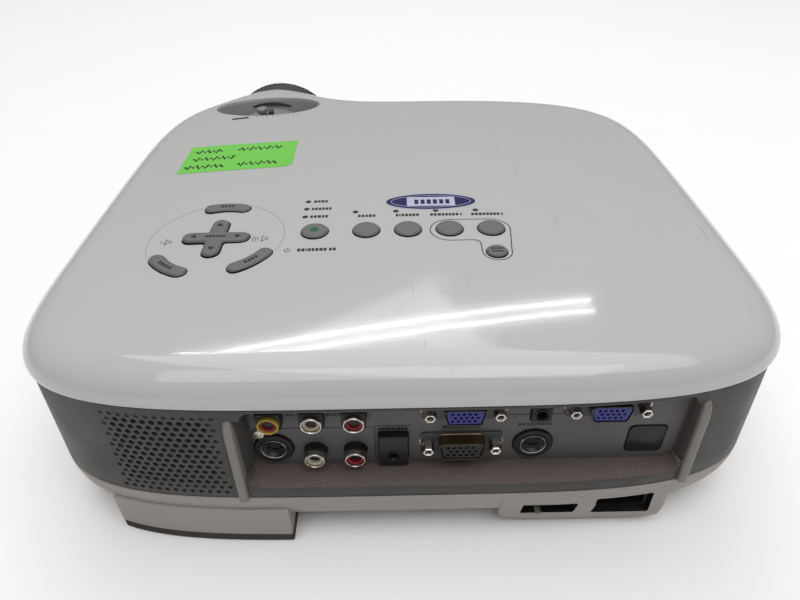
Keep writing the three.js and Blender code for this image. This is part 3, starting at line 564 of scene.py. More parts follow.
    @staticmethod
    def carve(piece: Thing, tool: Thing, how: Carve = Carve.CUT) -> Thing:
        """Cuts, joins or keeps with another solid, which is used up."""
        Bench.modified(piece, "BOOLEAN", object=tool, operation=how.value, solver="EXACT")
        bpy.data.objects.remove(tool)
        return piece

    @staticmethod
    def merge(pieces: Iterable[Thing]) -> Thing:
        """Puts several pieces into one mesh, without cutting them."""
        held = list(pieces)
        Bench.hold(held[0])
        for piece in held:
            piece.select_set(True)
        if len(held) > 1:
            bpy.ops.object.join()
        return held[0]

    @staticmethod
    def moved(piece: Thing, *moves: Matrix) -> Thing:
        """Moves a piece's mesh by each matrix in turn."""
        for move in moves:
            piece.data.transform(move)
        return piece

    @staticmethod
    def copy(piece: Thing, *moves: Matrix) -> Thing:
        """Copies a piece with its own mesh, moved by each matrix in turn."""
        twin = piece.copy()
        twin.data = piece.data.copy()
        bpy.context.collection.objects.link(twin)
        return Bench.moved(twin, *moves)

    @staticmethod
    def thicken(piece: Thing, wall: float) -> Thing:
        """Gives an open shell a wall on its inner side."""
        return Bench.modified(piece, "SOLIDIFY", thickness=wall, offset=-1)

    @staticmethod
    def soften(piece: Thing, width: float, segments: int = 3, angle: float = 40) -> Thing:
        """Rounds every edge sharper than an angle in degrees."""
        limit = math.radians(angle)
        return Bench.modified(
            piece, "BEVEL", width=width, segments=segments, limit_method="ANGLE", angle_limit=limit
        )

    @staticmethod
    def paint(piece: Thing, index: int, test: Callable[[Vector, Vector], bool]) -> Thing:
        """Gives the faces that pass a test of centre and normal another of the piece's finishes."""
        for face in piece.data.polygons:
            if test(face.center, face.normal):
                face.material_index = index
        return piece


def circle(x: float, y: float, radius: float, sides: int = 32) -> list[Point]:
    """Returns a circle's points."""
    return ellipse(x, y, radius, radius, sides)


def ellipse(x: float, y: float, wide: float, long: float, sides: int = 64) -> list[Point]:
    """Returns an ellipse's points, from its half sizes."""
    turns = (2 * math.pi * i / sides for i in range(sides))
    return [(x + wide * math.cos(t), y + long * math.sin(t)) for t in turns]


def arc(x: float, y: float, radius: float, start: float, end: float, steps: int = 8) -> list[Point]:
    """Returns points along an arc, both ends included, in radians."""
    turns = (start + (end - start) * i / steps for i in range(steps + 1))
    return [(x + radius * math.cos(t), y + radius * math.sin(t)) for t in turns]


def rounded(
    x: float, y: float, width: float, height: float, radius: float, steps: int = 6
) -> list[Point]:
    """Returns a rectangle with round corners."""
    points: list[Point] = []
    for quarter, (sx, sy) in enumerate(((1, 1), (-1, 1), (-1, -1), (1, -1))):
        middle = (x + sx * (width / 2 - radius), y + sy * (height / 2 - radius))
        points += arc(*middle, radius, quarter * math.pi / 2, (quarter + 1) * math.pi / 2, steps)
    return points


def deliver(
    piece: Thing,
    name: str,
    finishes: Finish | Sequence[Finish],
    body: str = "root",
    replaces: Sequence[str] = (),
    angle: float = 35,
) -> Thing:
    """Finishes a piece: size, name, shading, materials, body and the CAD nodes it stands for.

    Args:
        piece: The piece, in millimetres.
        name: Its name.
        finishes: One finish, or those that its faces' numbers count.
        body: The CAD body that it moves with.
        replaces: CAD nodes that it is shown for.
        angle: Edges sharper than this, in degrees, stay crisp.

    Returns:
        The finished piece.
    """
    Bench.hold(piece)
    piece.scale = (MM,) * 3
    bpy.ops.object.transform_apply(location=True, rotation=True, scale=True)
    bpy.ops.object.shade_smooth_by_angle(angle=math.radians(angle))
    piece.name = name
    piece.data.name = name
    for finish in [finishes] if isinstance(finishes, Finish) else finishes:
        piece.data.materials.append(finish.material())
    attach(piece, body)
    if replaces:
        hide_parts(*replaces)
    LOG.info("%s: %d faces, on %s", name, len(piece.data.polygons), body)
    return piece


def refinish(node: str, finish: Finish) -> None:
    """Gives a CAD node that is shown as it is one of the finishes."""
    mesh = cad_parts[node].data
    mesh.materials.clear()
    mesh.materials.append(finish.material())


# ------------------------------------------------------------------ case


@dataclass(frozen=True)
class CasePlan:
    """The outline of the case from above, and the shallow crown over it."""

    half_width: float = 146.65
    centre_y: float = 51.5
    rear_depth: float = 98.9
    front_depth: float = 163.5
    rear: Point = (4.3, 5.15)
    front_lens_side: Point = (8.0, 6.3)
    front_far_side: Point = (3.5, 6.3)
    nose_x: float = 84.0
    nose_reach: float = 33.0
    nose_spread: float = 38.0
    points: int = 216
    middle: Point = (8.0, 4.0)

    def at(self, turn: float) -> Vector:
        """Returns the outline's point in one direction from its centre."""
        c, s = math.cos(turn), math.sin(turn)
        front = self.front_lens_side if c >= 0 else self.front_far_side
        across, along = self.rear if s >= 0 else front
        inside, outside = 0.9, 1.5
        for _ in range(26):
            reach = (inside + outside) / 2
            if abs(reach * c) ** across + abs(reach * s) ** along < 1:
                inside = reach
            else:
                outside = reach
        x = self.half_width * inside * c
        y = self.centre_y + (self.rear_depth if s >= 0 else self.front_depth) * inside * s
        if s < 0:
            fade = min(1.0, max(0.0, (-y + self.centre_y) / (60 + self.centre_y)))
            bulge = math.exp(-(((x - self.nose_x) / self.nose_spread) ** 2))
            y -= self.nose_reach * bulge * fade * fade * (3 - 2 * fade)
        return Vector((x, y))

    @lru_cache(maxsize=4)
    def spaced(self) -> tuple[tuple[Vector, Vector], ...]:
        """Returns points and inward directions, closer together where the outline turns."""
        dense = [self.at(2 * math.pi * i / 1800) for i in range(1800)]
        reached = [0.0]
        for i in range(1, len(dense) + 1):
            step = dense[i % 1800] - dense[i - 1]
            following = dense[(i + 1) % 1800] - dense[i % 1800]
            reached.append(reached[-1] + step.length + 45 * abs(step.angle_signed(following)))
        picked, i = [], 0
        for k in range(self.points):
            while reached[i] < k / self.points * reached[-1]:
                i += 1
            along = (dense[(i + 2) % 1800] - dense[(i - 2) % 1800]).normalized()
            picked.append((dense[i % 1800], Vector((-along.y, along.x))))
        return tuple(picked)

    def ring(self, inset: float, level: float | Height, flare: float = 0.0) -> Ring:
        """Returns the outline moved inward, at a level or on a surface, its rear out by flare."""
        ring = []
        for point, inward in self.spaced():
            x, y = point + inward * inset
            if y > self.centre_y:
                y += flare * (y - self.centre_y) / self.rear_depth
            ring.append(Vector((x, y, level(x, y) if callable(level) else level)))
        return ring

    def shrunk(self, ring: Ring, share: float, level: float | Height) -> Ring:
        """Returns a ring drawn in towards the middle of the case."""
        cx, cy = self.middle
        points = ((cx + (p.x - cx) * share, cy + (p.y - cy) * share) for p in ring)
        return [Vector((x, y, level(x, y) if callable(level) else level)) for x, y in points]

    @staticmethod
    def crown(x: float, y: float) -> float:
        """Returns the height of the top over a point."""
        return 47 + 44 * math.sqrt(1 - (x / 400) ** 2 - ((y - 20) / 480) ** 2)

    def rear_y(self, x: float) -> float:
        """Returns how far back the outline reaches at one X."""
        across, along = self.rear
        return self.centre_y + self.rear_depth * (
            1 - abs(x / self.half_width) ** across
        ) ** (1 / along)


PLAN = CasePlan()
INWARD = (0.94, 0.84, 0.72, 0.58, 0.44, 0.30, 0.16, 0.04)
LENS = (82.5, 48.5)
LENS_CLEARANCE = 38.2
ON_LENS_AXIS = Matrix.Translation((LENS[0], 0, LENS[1]))
TOP_HOLES = (78, 96)
DOOR_CORNER = 5.0
DOOR_LEVELS = (8.0, 10.0)
PLATE_HOLES = (130, 150)
SOCKET_HEIGHT = 45.0
INPUT_SOCKETS: tuple[Point, ...] = ((-22.2, 64.8), (-73.9, 65.2))
OUTPUT_SOCKET: Point = (-21.8, 46.4)
SWITCH_OPENING: Span = (-67.6, -46.2, 11.2, 20.8)
INLET_OPENING: Span = (-97.9, -74.7, 10.4, 22.8)


def lens_tunnel() -> Thing:
    """Returns the tool that makes room for the lens in the case."""
    return Bench.turned([(LENS_CLEARANCE, -170), (LENS_CLEARANCE, -100)], LENS, Axis.Y, 72)


def mains_opening(span: Span, start: float, radius: float = 0.0) -> Thing:
    """Returns the tool for an opening at the mains, from start to beyond the rear face."""
    left, right, low, high = span
    return Bench.box((left, start, low), (right, 160, high), radius, Axis.Y)


def node_corners(node: str) -> tuple[Vector, Vector]:
    """Returns the low and high corners of a CAD node, in millimetres."""
    low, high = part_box(node)
    return low / MM, high / MM


def door_outline(node: str, grow: float = 0.0) -> list[Point]:
    """Returns the rounded outline of a door under the case, wider by grow."""
    low, high = node_corners(node)
    centre = ((high.x + low.x) / 2, (high.y + low.y) / 2)
    size = (high.x - low.x + 2 * grow, high.y - low.y + 2 * grow)
    return rounded(*centre, *size, DOOR_CORNER + grow)


def strip_edges(points: Sequence[Point], width: float) -> list[tuple[Point, Point]]:
    """Returns the two sides of a line, as a pair of points for each of its points."""
    edges = []
    for index, (x, y) in enumerate(points):
        before = Vector(points[max(index - 1, 0)])
        after = Vector(points[min(index + 1, len(points) - 1)])
        along = (after - before).normalized()
        side = Vector((-along.y, along.x)) * width / 2
        edges.append(((x + side.x, y + side.y), (x - side.x, y - side.y)))
    return edges


def crown_patch(outline: Sequence[Point], lift: float, thickness: float = 0.12) -> Thing:
    """Lays a thin sheet on the crown of the top.

    Args:
        outline: The sheet's flat outline.
        lift: Its underside's height over the crown.
        thickness: How thick it is.

    Returns:
        The closed sheet.
    """
    cx = sum(p[0] for p in outline) / len(outline)
    cy = sum(p[1] for p in outline) / len(outline)

    def drawn(share: float, height: float) -> Ring:
        """Returns the outline drawn in to its middle, at a height over the crown."""
        points = ((cx + (x - cx) * share, cy + (y - cy) * share) for x, y in outline)
        return [Vector((x, y, PLAN.crown(x, y) + height)) for x, y in points]

    shares = (0.05, 0.35, 0.7, 1.0)
    under = [drawn(share, lift) for share in shares]
    over = [drawn(share, lift + thickness) for share in reversed(shares)]
    return Bench.loft([*under, *over])


@dataclass
class TopCover:
    """The crowned glossy top, with holes for keys and lights and an oval one over the zoom lever."""

    rim_z: float = 76.0
    rim_radius: float = 13.3
    wall: float = 2.4
    opening: Point = (82.5, -99.4)
    opening_size: Point = (33.0, 16.5)

    def shell(self) -> Thing:
        """Returns the open shell: a rolled rim and the crown, given a wall."""
        rings = [PLAN.ring(0.5, self.rim_z), PLAN.ring(0.1, self.rim_z + 0.35)]
        for step in range(11):
            turn = math.radians(9 * step)
            inset = self.rim_radius * (1 - math.cos(turn))
            rise = math.sin(turn)
            base = self.rim_z + 0.9
            rings.append(PLAN.ring(inset, lambda x, y: base + (PLAN.crown(x, y) - base) * rise))
        rim = rings[-1]
        rings += [PLAN.shrunk(rim, share, PLAN.crown) for share in (0.985, 0.965, *INWARD)]
        return Bench.thicken(Bench.loft(rings, caps=(False, True)), self.wall)

    def build(self, pad: "KeyPad") -> None:
        """Makes the cover and the dish under its oval opening.

        Args:
            pad: The keys whose holes the cover has.
        """
        cover = self.shell()
        oval = ellipse(*self.opening, *self.opening_size, 72)
        tools = [Bench.prism(outline, *TOP_HOLES) for outline in (*pad.holes(), oval)]
        Bench.carve(cover, Bench.merge(tools))
        Bench.carve(cover, lens_tunnel())
        deliver(cover, "top_cover_shell", Shop.GLOSS_WHITE, replaces=["top_cover"])
        deliver(self.dish(), "zoom_dish", Shop.DISH, angle=50)

    def dish(self) -> Thing:
        """Returns the sloping oval wall that leads down to the zoom ring."""
        x, y = self.opening
        wide, long = self.opening_size

        def on_crown(grow: float, drop: float) -> Ring:
            """Returns the oval, wider by grow, at a drop under the crown."""
            outline = ellipse(x, y, wide + grow, long + grow, 72)
            return [Vector((a, b, PLAN.crown(a, b) - drop)) for a, b in outline]

        def over_ring(grow_x: float, grow_y: float, lift: float) -> Ring:
            """Returns the oval laid over the zoom ring, at a lift above it."""
            outline = ellipse(x, y, wide + grow_x, long + grow_y, 72)
            reach = 34.6 + lift
            return [
                Vector((a, b, LENS[1] + math.sqrt(reach**2 - (a - x) ** 2))) for a, b in outline
            ]

        outside = [over_ring(-5.2, -2.2, -0.1), on_crown(0.4, 3.2), on_crown(-0.25, 0.5)]
        inside = [
            on_crown(-0.5, 0.25), on_crown(-0.9, 0.5), on_crown(-1.6, 1.6),
            over_ring(-6.5, -3.0, 0.4)
        ]
        return Bench.loft([*outside, *inside, over_ring(-6.9, -3.4, -0.4)], closed=True)


@dataclass
class MiddleBand:
    """The satin band, with the recess for the sockets, its two fins and the perforated exhaust."""

    low_z: float = 29.4
    high_z: float = 75.3
    wall: float = 2.4
    flare: float = 1.6
    recess_left: float = 56.5
    recess_right: float = -103.5
    recess_floor: float = 35.0
    plate_y: float = 140.0
    hole_radius: float = 1.12
    column_pitch: float = 3.3
    row_pitch: float = 2.75

    def skin(self, extra: float = 0.0, grow: float = 0.0) -> Thing:
        """Returns the filled band, moved inward by extra and taller by grow."""
        rings = [PLAN.ring(0.7 + extra, self.low_z - grow, self.flare)]
        for share in (0.012, 0.15, 0.3, 0.45, 0.6, 0.75, 0.9, 0.99):
            level = self.low_z + (self.high_z - self.low_z) * share
            rings.append(PLAN.ring(0.35 + 0.75 * share + extra, level, self.flare * (1 - share)))
        rings.append(PLAN.ring(1.5 + extra, self.high_z + grow))
        return Bench.loft(rings)

    def build(self) -> None:
        """Makes the band as one moulding, and the two fins beside its recess."""
        band = Bench.carve(self.skin(), self.skin(self.wall, 1.0))
        tray_low = (
            self.recess_right - self.wall, self.plate_y - 2.6, self.recess_floor - self.wall
        )
        tray = Bench.box(tray_low, (self.recess_left + self.wall, 156, self.high_z - 0.05))
        Bench.carve(tray, self.skin(0.05), Carve.KEEP)
        Bench.carve(band, tray, Carve.JOIN)
        mouth_low = (self.recess_right, self.plate_y - 4, self.recess_floor)
        mouth = Bench.box(mouth_low, (self.recess_left, 165, self.high_z - 1.5), 4.5, Axis.Y)
        Bench.carve(band, mouth)
        for edge, out in ((self.recess_left, 1), (self.recess_right, -1)):
            splay = [
                (edge - 3 * out, 141), (edge - 0.02 * out, 141), (edge + 3.6 * out, 152),
                (edge + 5 * out, 160), (edge - 3 * out, 160)
            ]
            Bench.carve(
                band,
                Bench.prism(
                    splay if out > 0 else splay[::-1], self.recess_floor + 4, self.high_z - 5.5
                )
            )
        Bench.carve(band, lens_tunnel())
        self.cut_fittings(band)
        Bench.soften(band, 0.45, 2, 50)
        Bench.carve(band, self.perforation())
        Bench.paint(band, 1, self.in_recess)
        names = ["middle_band", "rear_vent_grille"]
        # The band's faces get the darkened silver, which carries painted shade.
        deliver(band, "middle_band_shell", (Shop.SHADED_SILVER, Shop.SHELF), replaces=names)
        # The fins get the lighter silver, a painted highlight.
        for name, x in (("left_fin", 60.6), ("right_fin", -106.9)):
            deliver(self.fin(x), name, Shop.LIT_FIN_SILVER)

    def in_recess(self, centre: Vector, upward: Vector) -> bool:
        """Tells whether a face belongs to the floor or the walls of the recess."""
        across = self.recess_right - 0.5 < centre.x < self.recess_left + 0.5
        floor = upward.z > 0.7 and abs(centre.z - self.recess_floor) < 0.3
        behind = 137 < centre.y < PLAN.rear_y(centre.x) - 1.4 and centre.z > self.recess_floor - 0.2
        return across and centre.y > 137 and (floor or behind)

    def fin(self, x: float) -> Thing:
        """Returns one upright fin beside the recess, at x, round at its top."""
        rings = []
        for step, level in enumerate((self.low_z, 38, 46, 55, 63, 67, 69.2, 70.2)):
            shrink = (1, 1, 1, 1, 1, 0.86, 0.55, 0.12)[step]
            share = (level - self.low_z) / (self.high_z - self.low_z)
            back = min(
                153.3,
                PLAN.rear_y(x) + self.flare * (1 - share) * 0.8 - 0.75 * share + 3.0 * shrink - 0.9
            )
            outline = rounded(
                x, back - 4, 3.6 * (0.5 + 0.5 * shrink), 8, 1.3 * (0.5 + 0.5 * shrink), 4
            )
            rings.append([Vector((a, b, level)) for a, b in outline])
        return Bench.loft(rings)

    def cut_fittings(self, band: Thing) -> None:
        """Opens the band for the front grille, the front window and the foot's button."""
        for node in ("front_vent_grille", "front_sensor_window", "front_foot_button"):
            low, high = node_corners(node)
            if node == "front_foot_button":
                low.xz, high.xz = (-8.3, 37.7), (8.3, 46.3)
            tool = Bench.box(
                (low.x - 0.3, -136, low.z - 0.3), (high.x + 0.3, -90, high.z + 0.3), 1.0, Axis.Y
            )
            Bench.carve(band, tool)

    def perforation(self) -> Thing:
        """Returns the tool for the rows of small holes, the outer ones only dimples."""
        rows, columns = 15, 13
        hole = None
        tools = []
        for row in range(rows):
            z = 71.0 - row * self.row_pitch
            drawn = 0.5 if row % 2 else 0.0
            for column in range(columns):
                x = 105.4 - (column + drawn) * self.column_pitch + row * 0.07
                if x < 65.0:
                    continue
                edge = row in (0, rows - 1, rows - 2) or column == 0 or x < 68.6
                share = (z - self.low_z) / (self.high_z - self.low_z)
                surface = PLAN.rear_y(x) + self.flare * (1 - share) - 0.8
                start = surface - (0.75 if edge else 7.0)
                radius = self.hole_radius * (0.8 if edge else 1.0)
                if hole is None:
                    hole = Bench.turned([(1, 0), (1, 12)], axis=Axis.Y, sides=12)
                sized = Matrix.Diagonal((radius, 1, radius, 1))
                tools.append(Bench.copy(hole, sized, Matrix.Translation((x, start, z))))
        bpy.data.objects.remove(hole)
        return Bench.merge(tools)


@dataclass
class BaseCover:
    """The lower cover: a flat pan whose sides curve in below the seam."""

    seam_z: float = 28.9
    bottom_z: float = 8.0
    inward: float = 12.0
    flare: float = 1.6

    def build(self) -> None:
        """Makes the pan, open for its two covers, the front foot and the lens."""
        rings = [
            PLAN.ring(0.75, self.seam_z, self.flare), PLAN.ring(0.35, self.seam_z - 0.3, self.flare)
        ]
        for step in range(1, 13):
            turn = math.radians(7.5 * step)
            inset = 0.35 + self.inward * (1 - math.cos(turn))
            level = self.seam_z - 0.3 - (self.seam_z - 0.3 - self.bottom_z) * math.sin(turn)
            rings.append(PLAN.ring(inset, level, self.flare * math.cos(turn)))
        floor = rings[-1]
        rings += [PLAN.shrunk(floor, share, self.bottom_z) for share in (0.98, 0.7, 0.4, 0.1)]
        pan = Bench.thicken(Bench.loft(rings, caps=(False, True)), 2.4)
        gap = 0.35
        doors = [
            Bench.prism(door_outline(node, gap), 5, 14) for node in ("filter_cover", "lamp_cover")
        ]
        well = Bench.turned([(11.4, 2), (11.4, 14)], (0, -84), Axis.Z, 48)
        mains = [mains_opening(SWITCH_OPENING, 118), mains_opening(INLET_OPENING, 114)]
        Bench.carve(pan, Bench.merge([*doors, well, *mains]))
        Bench.carve(pan, lens_tunnel())
        deliver(pan, "bottom_cover_pan", Shop.WARM_WHITE, replaces=["bottom_cover"])


@dataclass
class FootBlocks:
    """The two blocks under the rear edge, their rubber pads, and the tilt foot in front."""

    left: tuple[float, float] = (45.2, 116.2)
    right: tuple[float, float] = (-104.5, -37.5)
    flare: float = 1.2

    def build(self) -> None:
        """Makes both blocks with their pads and the front foot."""
        plain = Bench.loft(
            [PLAN.ring(-1.2, 5.0, 0.4), PLAN.ring(-1.2, 12, 0.4), PLAN.ring(-1.2, 20.8, 0.4)]
        )
        window = Bench.prism(rounded(80.7, 147, 71, 56, 7, 8), 0, 30)
        block = Bench.soften(Bench.carve(plain, window, Carve.KEEP), 1.5, 4, 45)
        deliver(
            block, "rear_left_block", Shop.WARM_WHITE,
            replaces=["rear_left_foot_housing"]
        )
        sole = Bench.loft(
            [
                PLAN.ring(level_inset, z)
                for level_inset, z in ((-0.6, 0.0), (-1.3, 0.7), (-1.3, 5.1))
            ]
        )
        window = Bench.prism(rounded(80.7, 147, 71.3, 56.3, 7.2, 8), -5, 30)
        sole = Bench.soften(Bench.carve(sole, window, Carve.KEEP), 0.8, 3, 45)
        deliver(sole, "rear_left_pad", Shop.RUBBER, replaces=["rear_left_foot_pad"])
        self.inlet_block()
        self.front_foot()

    def inlet_block(self) -> None:
        """Makes the block round the mains switch and inlet, its rear face leaning in."""
        low, high = self.right
        side = [(100, 2.7), (145.5, 2.7), (152.3, 24.6), (100, 24.6)]
        block = Bench.prism(side, low, high, Axis.X)
        face = Bench.prism(rounded((low + high) / 2, 24.7, high - low, 44, 9, 8), 90, 160, Axis.Y)
        Bench.carve(block, face, Carve.KEEP)
        Bench.carve(block, Bench.loft([PLAN.ring(0.5, z, 1.6) for z in (0, 40)]), Carve.KEEP)
        Bench.soften(block, 0.6, 3, 45)
        switch = mains_opening(SWITCH_OPENING, 120, 0.7)
        nub = Bench.turned([(1.25, 138), (1.25, 160)], (-53.6, 11.2), Axis.Y, 16)
        inlet = mains_opening(INLET_OPENING, 115, 1.0)
        for tool in (switch, nub, inlet):
            Bench.carve(block, tool)
        Bench.paint(block, 1, self.in_opening)
        both = (Shop.WARM_WHITE, Shop.BLACK)
        deliver(block, "power_inlet_block", both, replaces=["power_inlet_housing"])
        pad = Bench.soften(Bench.prism(rounded(-72, 134, 56, 17, 4), 0, 2.6), 0.4, 2, 50)
        deliver(pad, "rear_right_pad", Shop.RUBBER, replaces=["rear_right_foot_pad"])

    @staticmethod
    def in_opening(centre: Vector, outward: Vector) -> bool:
        """Tells whether a face is a wall of the switch's or the inlet's opening."""
        slack = 0.2
        inside = any(
            left - slack < centre.x < right + slack and low - slack < centre.z < high + slack
            for left, right, low, high in (SWITCH_OPENING, INLET_OPENING)
        )
        return inside and abs(outward.y) < 0.6 and centre.y > 118

    def front_foot(self) -> None:
        """Makes the round foot with its toothed stem."""
        sole = [
            (0, 0), (9.8, 0), (10.7, 0.5), (11, 1.4), (11, 5.6), (10.4, 6.8), (9.2, 7.3), (8, 7.4),
            (8, 67), (7.4, 68), (0, 68)
        ]
        foot = Bench.turned(sole, (0, -84), Axis.Z, 48)
        teeth = [Bench.box((-6, -94, 18 + 2.5 * n), (6, -90.8, 19.2 + 2.5 * n)) for n in range(11)]
        Bench.carve(foot, Bench.merge(teeth))
        grips = [
            Bench.turned(
                [(0.7, 1.6), (0.7, 5.4)], (11 * math.cos(t), -84 + 11 * math.sin(t)), Axis.Z, 8
            )
            for t in (2 * math.pi * n / 24 for n in range(24))
        ]
        Bench.carve(foot, Bench.merge(grips))
        deliver(foot, "front_tilt_foot", Shop.DARK, "foot", ["front_foot"])


@dataclass
class Mains:
    """The rocker switch and the three-pin inlet in the right block."""

    switch: Point = (-56.9, 16.0)
    inlet: Point = (-86.3, 16.6)

    def build(self) -> None:
        """Makes the switch's frame and paddle, and the inlet's socket with its pins."""
        x, z = self.switch
        rim = Bench.box((x - 10.3, 123.4, z - 4.5), (x + 10.3, 145.4, z + 4.5), 0.6, Axis.Y)
        Bench.carve(rim, Bench.box((x - 9.5, 138.4, z - 3.7), (x + 9.5, 150, z + 3.7), 0.4, Axis.Y))
        deliver(rim, "switch_frame", Shop.BLACK, replaces=["power_switch_body"])
        self.paddle()
        x, z = self.inlet
        shell = Bench.box((x - 11.2, 119.2, z - 5.9), (x + 11.2, 145.2, z + 5.9), 0.6, Axis.Y)
        Bench.carve(
            shell, Bench.box((x - 9.8, 130.2, z - 4.7), (x + 9.8, 150, z + 4.7), 1.2, Axis.Y)
        )
        deliver(shell, "inlet_shell", Shop.BLACK, replaces=["ac_inlet"])
        pins = []
        for shift in (-7, 0, 7):
            middle = z + (1.4 if shift == 0 else -1.4)
            low, high = (x + shift - 1, 129, middle - 2), (x + shift + 1, 138.7, middle + 2)
            pins.append(Bench.soften(Bench.box(low, high), 0.35, 2))
        deliver(Bench.merge(pins), "inlet_pins", Shop.NICKEL)

    def paddle(self) -> None:
        """Makes the paddle, tipped towards its off end, with plain on and off marks."""
        x, z = self.switch
        half = 8.4
        profile = [
            (-half, -0.6), (half, -0.6), (half, 2.1), (half * 0.5, 2.5), (0, 3.3),
            (-half * 0.5, 2.5), (-half, 2.1)
        ]
        spin = Matrix.Rotation(-0.12, 4, "Z")
        paddle = Bench.soften(Bench.prism(profile, z - 3.2, z + 3.2), 0.3, 2)
        ring = Bench.turned(
            [(1.2, 2.2), (1.2, 2.62), (0.85, 2.62), (0.85, 2.2)], (3.9, 0), Axis.Y, 24, closed=True
        )
        bar = Bench.box((-4.9, 2.2, -1.2), (-4.5, 2.72, 1.2))
        for mark in (ring, bar):
            Bench.moved(mark, Matrix.Translation((0, 0, z)))
        for piece, name, finish in (
            (paddle, "switch_paddle", Shop.BLACK),
            (Bench.merge([ring, bar]), "switch_marks", Shop.PALE_INK)
        ):
            piece.data.transform(Matrix.Translation((x, 142, 0)) @ spin)
            nodes = ["power_switch_rocker"] if name == "switch_paddle" else []
            deliver(piece, name, finish, "switch_rocker", nodes)


# ------------------------------------------------------------------ lens


@dataclass
class LensEnd:
    """The focus ring with its grip, the glasses, the barrel and the zoom ring with its knob."""

    front_y: float = -153.4
    back_y: float = -139.0
    knob_turn: float = 6.3
    knob_y: float = -99.5

    def build(self) -> None:
        """Makes the turning parts of the lens and the collar round them."""
        f, b = self.front_y, self.back_y
        outside = [
            (26.4, b), (37.2, b), (37.6, b - 0.5), (37.6, f + 1.6), (37.1, f + 0.5), (36.0, f)
        ]
        inside = [
            (32.6, f), (31.9, f + 0.6), (30.6, f + 1.7), (30.2, f + 2.9), (29.0, f + 3.6),
            (28.6, f + 4.9), (27.2, f + 5.6), (26.4, f + 7)
        ]
        ring = Bench.turned([*outside, *inside], LENS, Axis.Y, 144, closed=True)
        groove = Bench.box((37.2, f + 3.0, -0.55), (39, b - 1.6, 0.55))
        grooves = [
            Bench.copy(groove, Matrix.Rotation(math.radians(5 * step), 4, "Y"), ON_LENS_AXIS)
            for step in range(72)
        ]
        bpy.data.objects.remove(groove)
        Bench.carve(ring, Bench.merge(grooves))
        deliver(ring, "focus_grip_ring", Shop.DARK, "focus", ["focus_ring"], 30)
        dome = [(26.1 * s, f + 7.4 - 2.4 * (1 - s * s)) for s in (0, 0.2, 0.4, 0.6, 0.8, 1.0)]
        glass = Bench.turned([*dome, (26.1, f + 9.8), (0, f + 9.8)], LENS, Axis.Y, 96)
        deliver(glass, "front_glass", Shop.GLASS, "focus", ["front_lens_element"])
        collar = [(36.8, -138.6), (37.5, -138.6), (37.9, -138.1), (37.9, -112), (36.8, -112)]
        deliver(
            Bench.turned(collar, LENS, Axis.Y, 96, closed=True), "lens_collar", Shop.DARK,
        )
        self.barrel()
        self.zoom_ring()

    def barrel(self) -> None:
        """Makes the fixed barrel with its stepped black baffles and a second glass."""
        steps = [(25.6, -137.8), (25.6, -64), (33.6, -64), (33.6, -60), (20.4, -60), (20.4, -100)]
        baffles = [
            (radius, y)
            for n in range(6)
            for radius, y in ((20.4 + 0.5 * n, -106 - 5 * n), (21.2 + 0.5 * n, -108 - 5 * n))
        ]
        barrel = Bench.turned([*steps, *baffles, (24.2, -137.8)], LENS, Axis.Y, 72, closed=True)
        deliver(
            barrel, "lens_barrel_tube", Shop.BLACK, replaces=["lens_barrel"], angle=30
        )
        glass = Bench.turned(
            [(0, -113), (12, -112.4), (20.2, -110), (20.2, -108), (0, -108)], LENS, Axis.Y, 72
        )
        deliver(glass, "second_glass", Shop.GLASS)

    def zoom_ring(self) -> None:
        """Makes the zoom ring and the round knob that stands on it."""
        ring = [(26.4, -119), (33.6, -119), (34.3, -118.4), (34.3, -80.6), (33.6, -80), (26.4, -80)]
        zoom = Bench.turned(ring, LENS, Axis.Y, 120, closed=True)
        deliver(zoom, "zoom_sleeve", Shop.DISH, "zoom", ["zoom_ring"], 30)
        stem = Bench.turned(
            [
                (2.2, 32), (2.2, 36.2), (3.2, 36.7), (3.5, 37.3), (3.4, 38.8), (2.9, 39.4),
                (1.8, 39.25), (0, 39.2)
            ],
            sides=40
        )
        # Painted shade: a dark block on the zoom ring beside the knob stands for the shade in the
        # slot there.
        fin = Bench.box((-6.6, -2.4, 32), (-3.8, 2.4, 37.4), 0.5)
        for piece, name, finish in (
            (stem, "zoom_knob", Shop.DISH), (fin, "zoom_slot_shade", Shop.DARK)
        ):
            spin = Matrix.Rotation(math.radians(self.knob_turn), 4, "Y")
            Bench.moved(piece, spin, Matrix.Translation((LENS[0], self.knob_y, LENS[1])))
            deliver(piece, name, finish, "zoom")


# ------------------------------------------------------------------ keys


@dataclass(frozen=True)
class RoundKey:
    """A round key: the CAD node it stands for, its place and radius."""

    node: str
    x: float
    y: float
    radius: float = 5.84


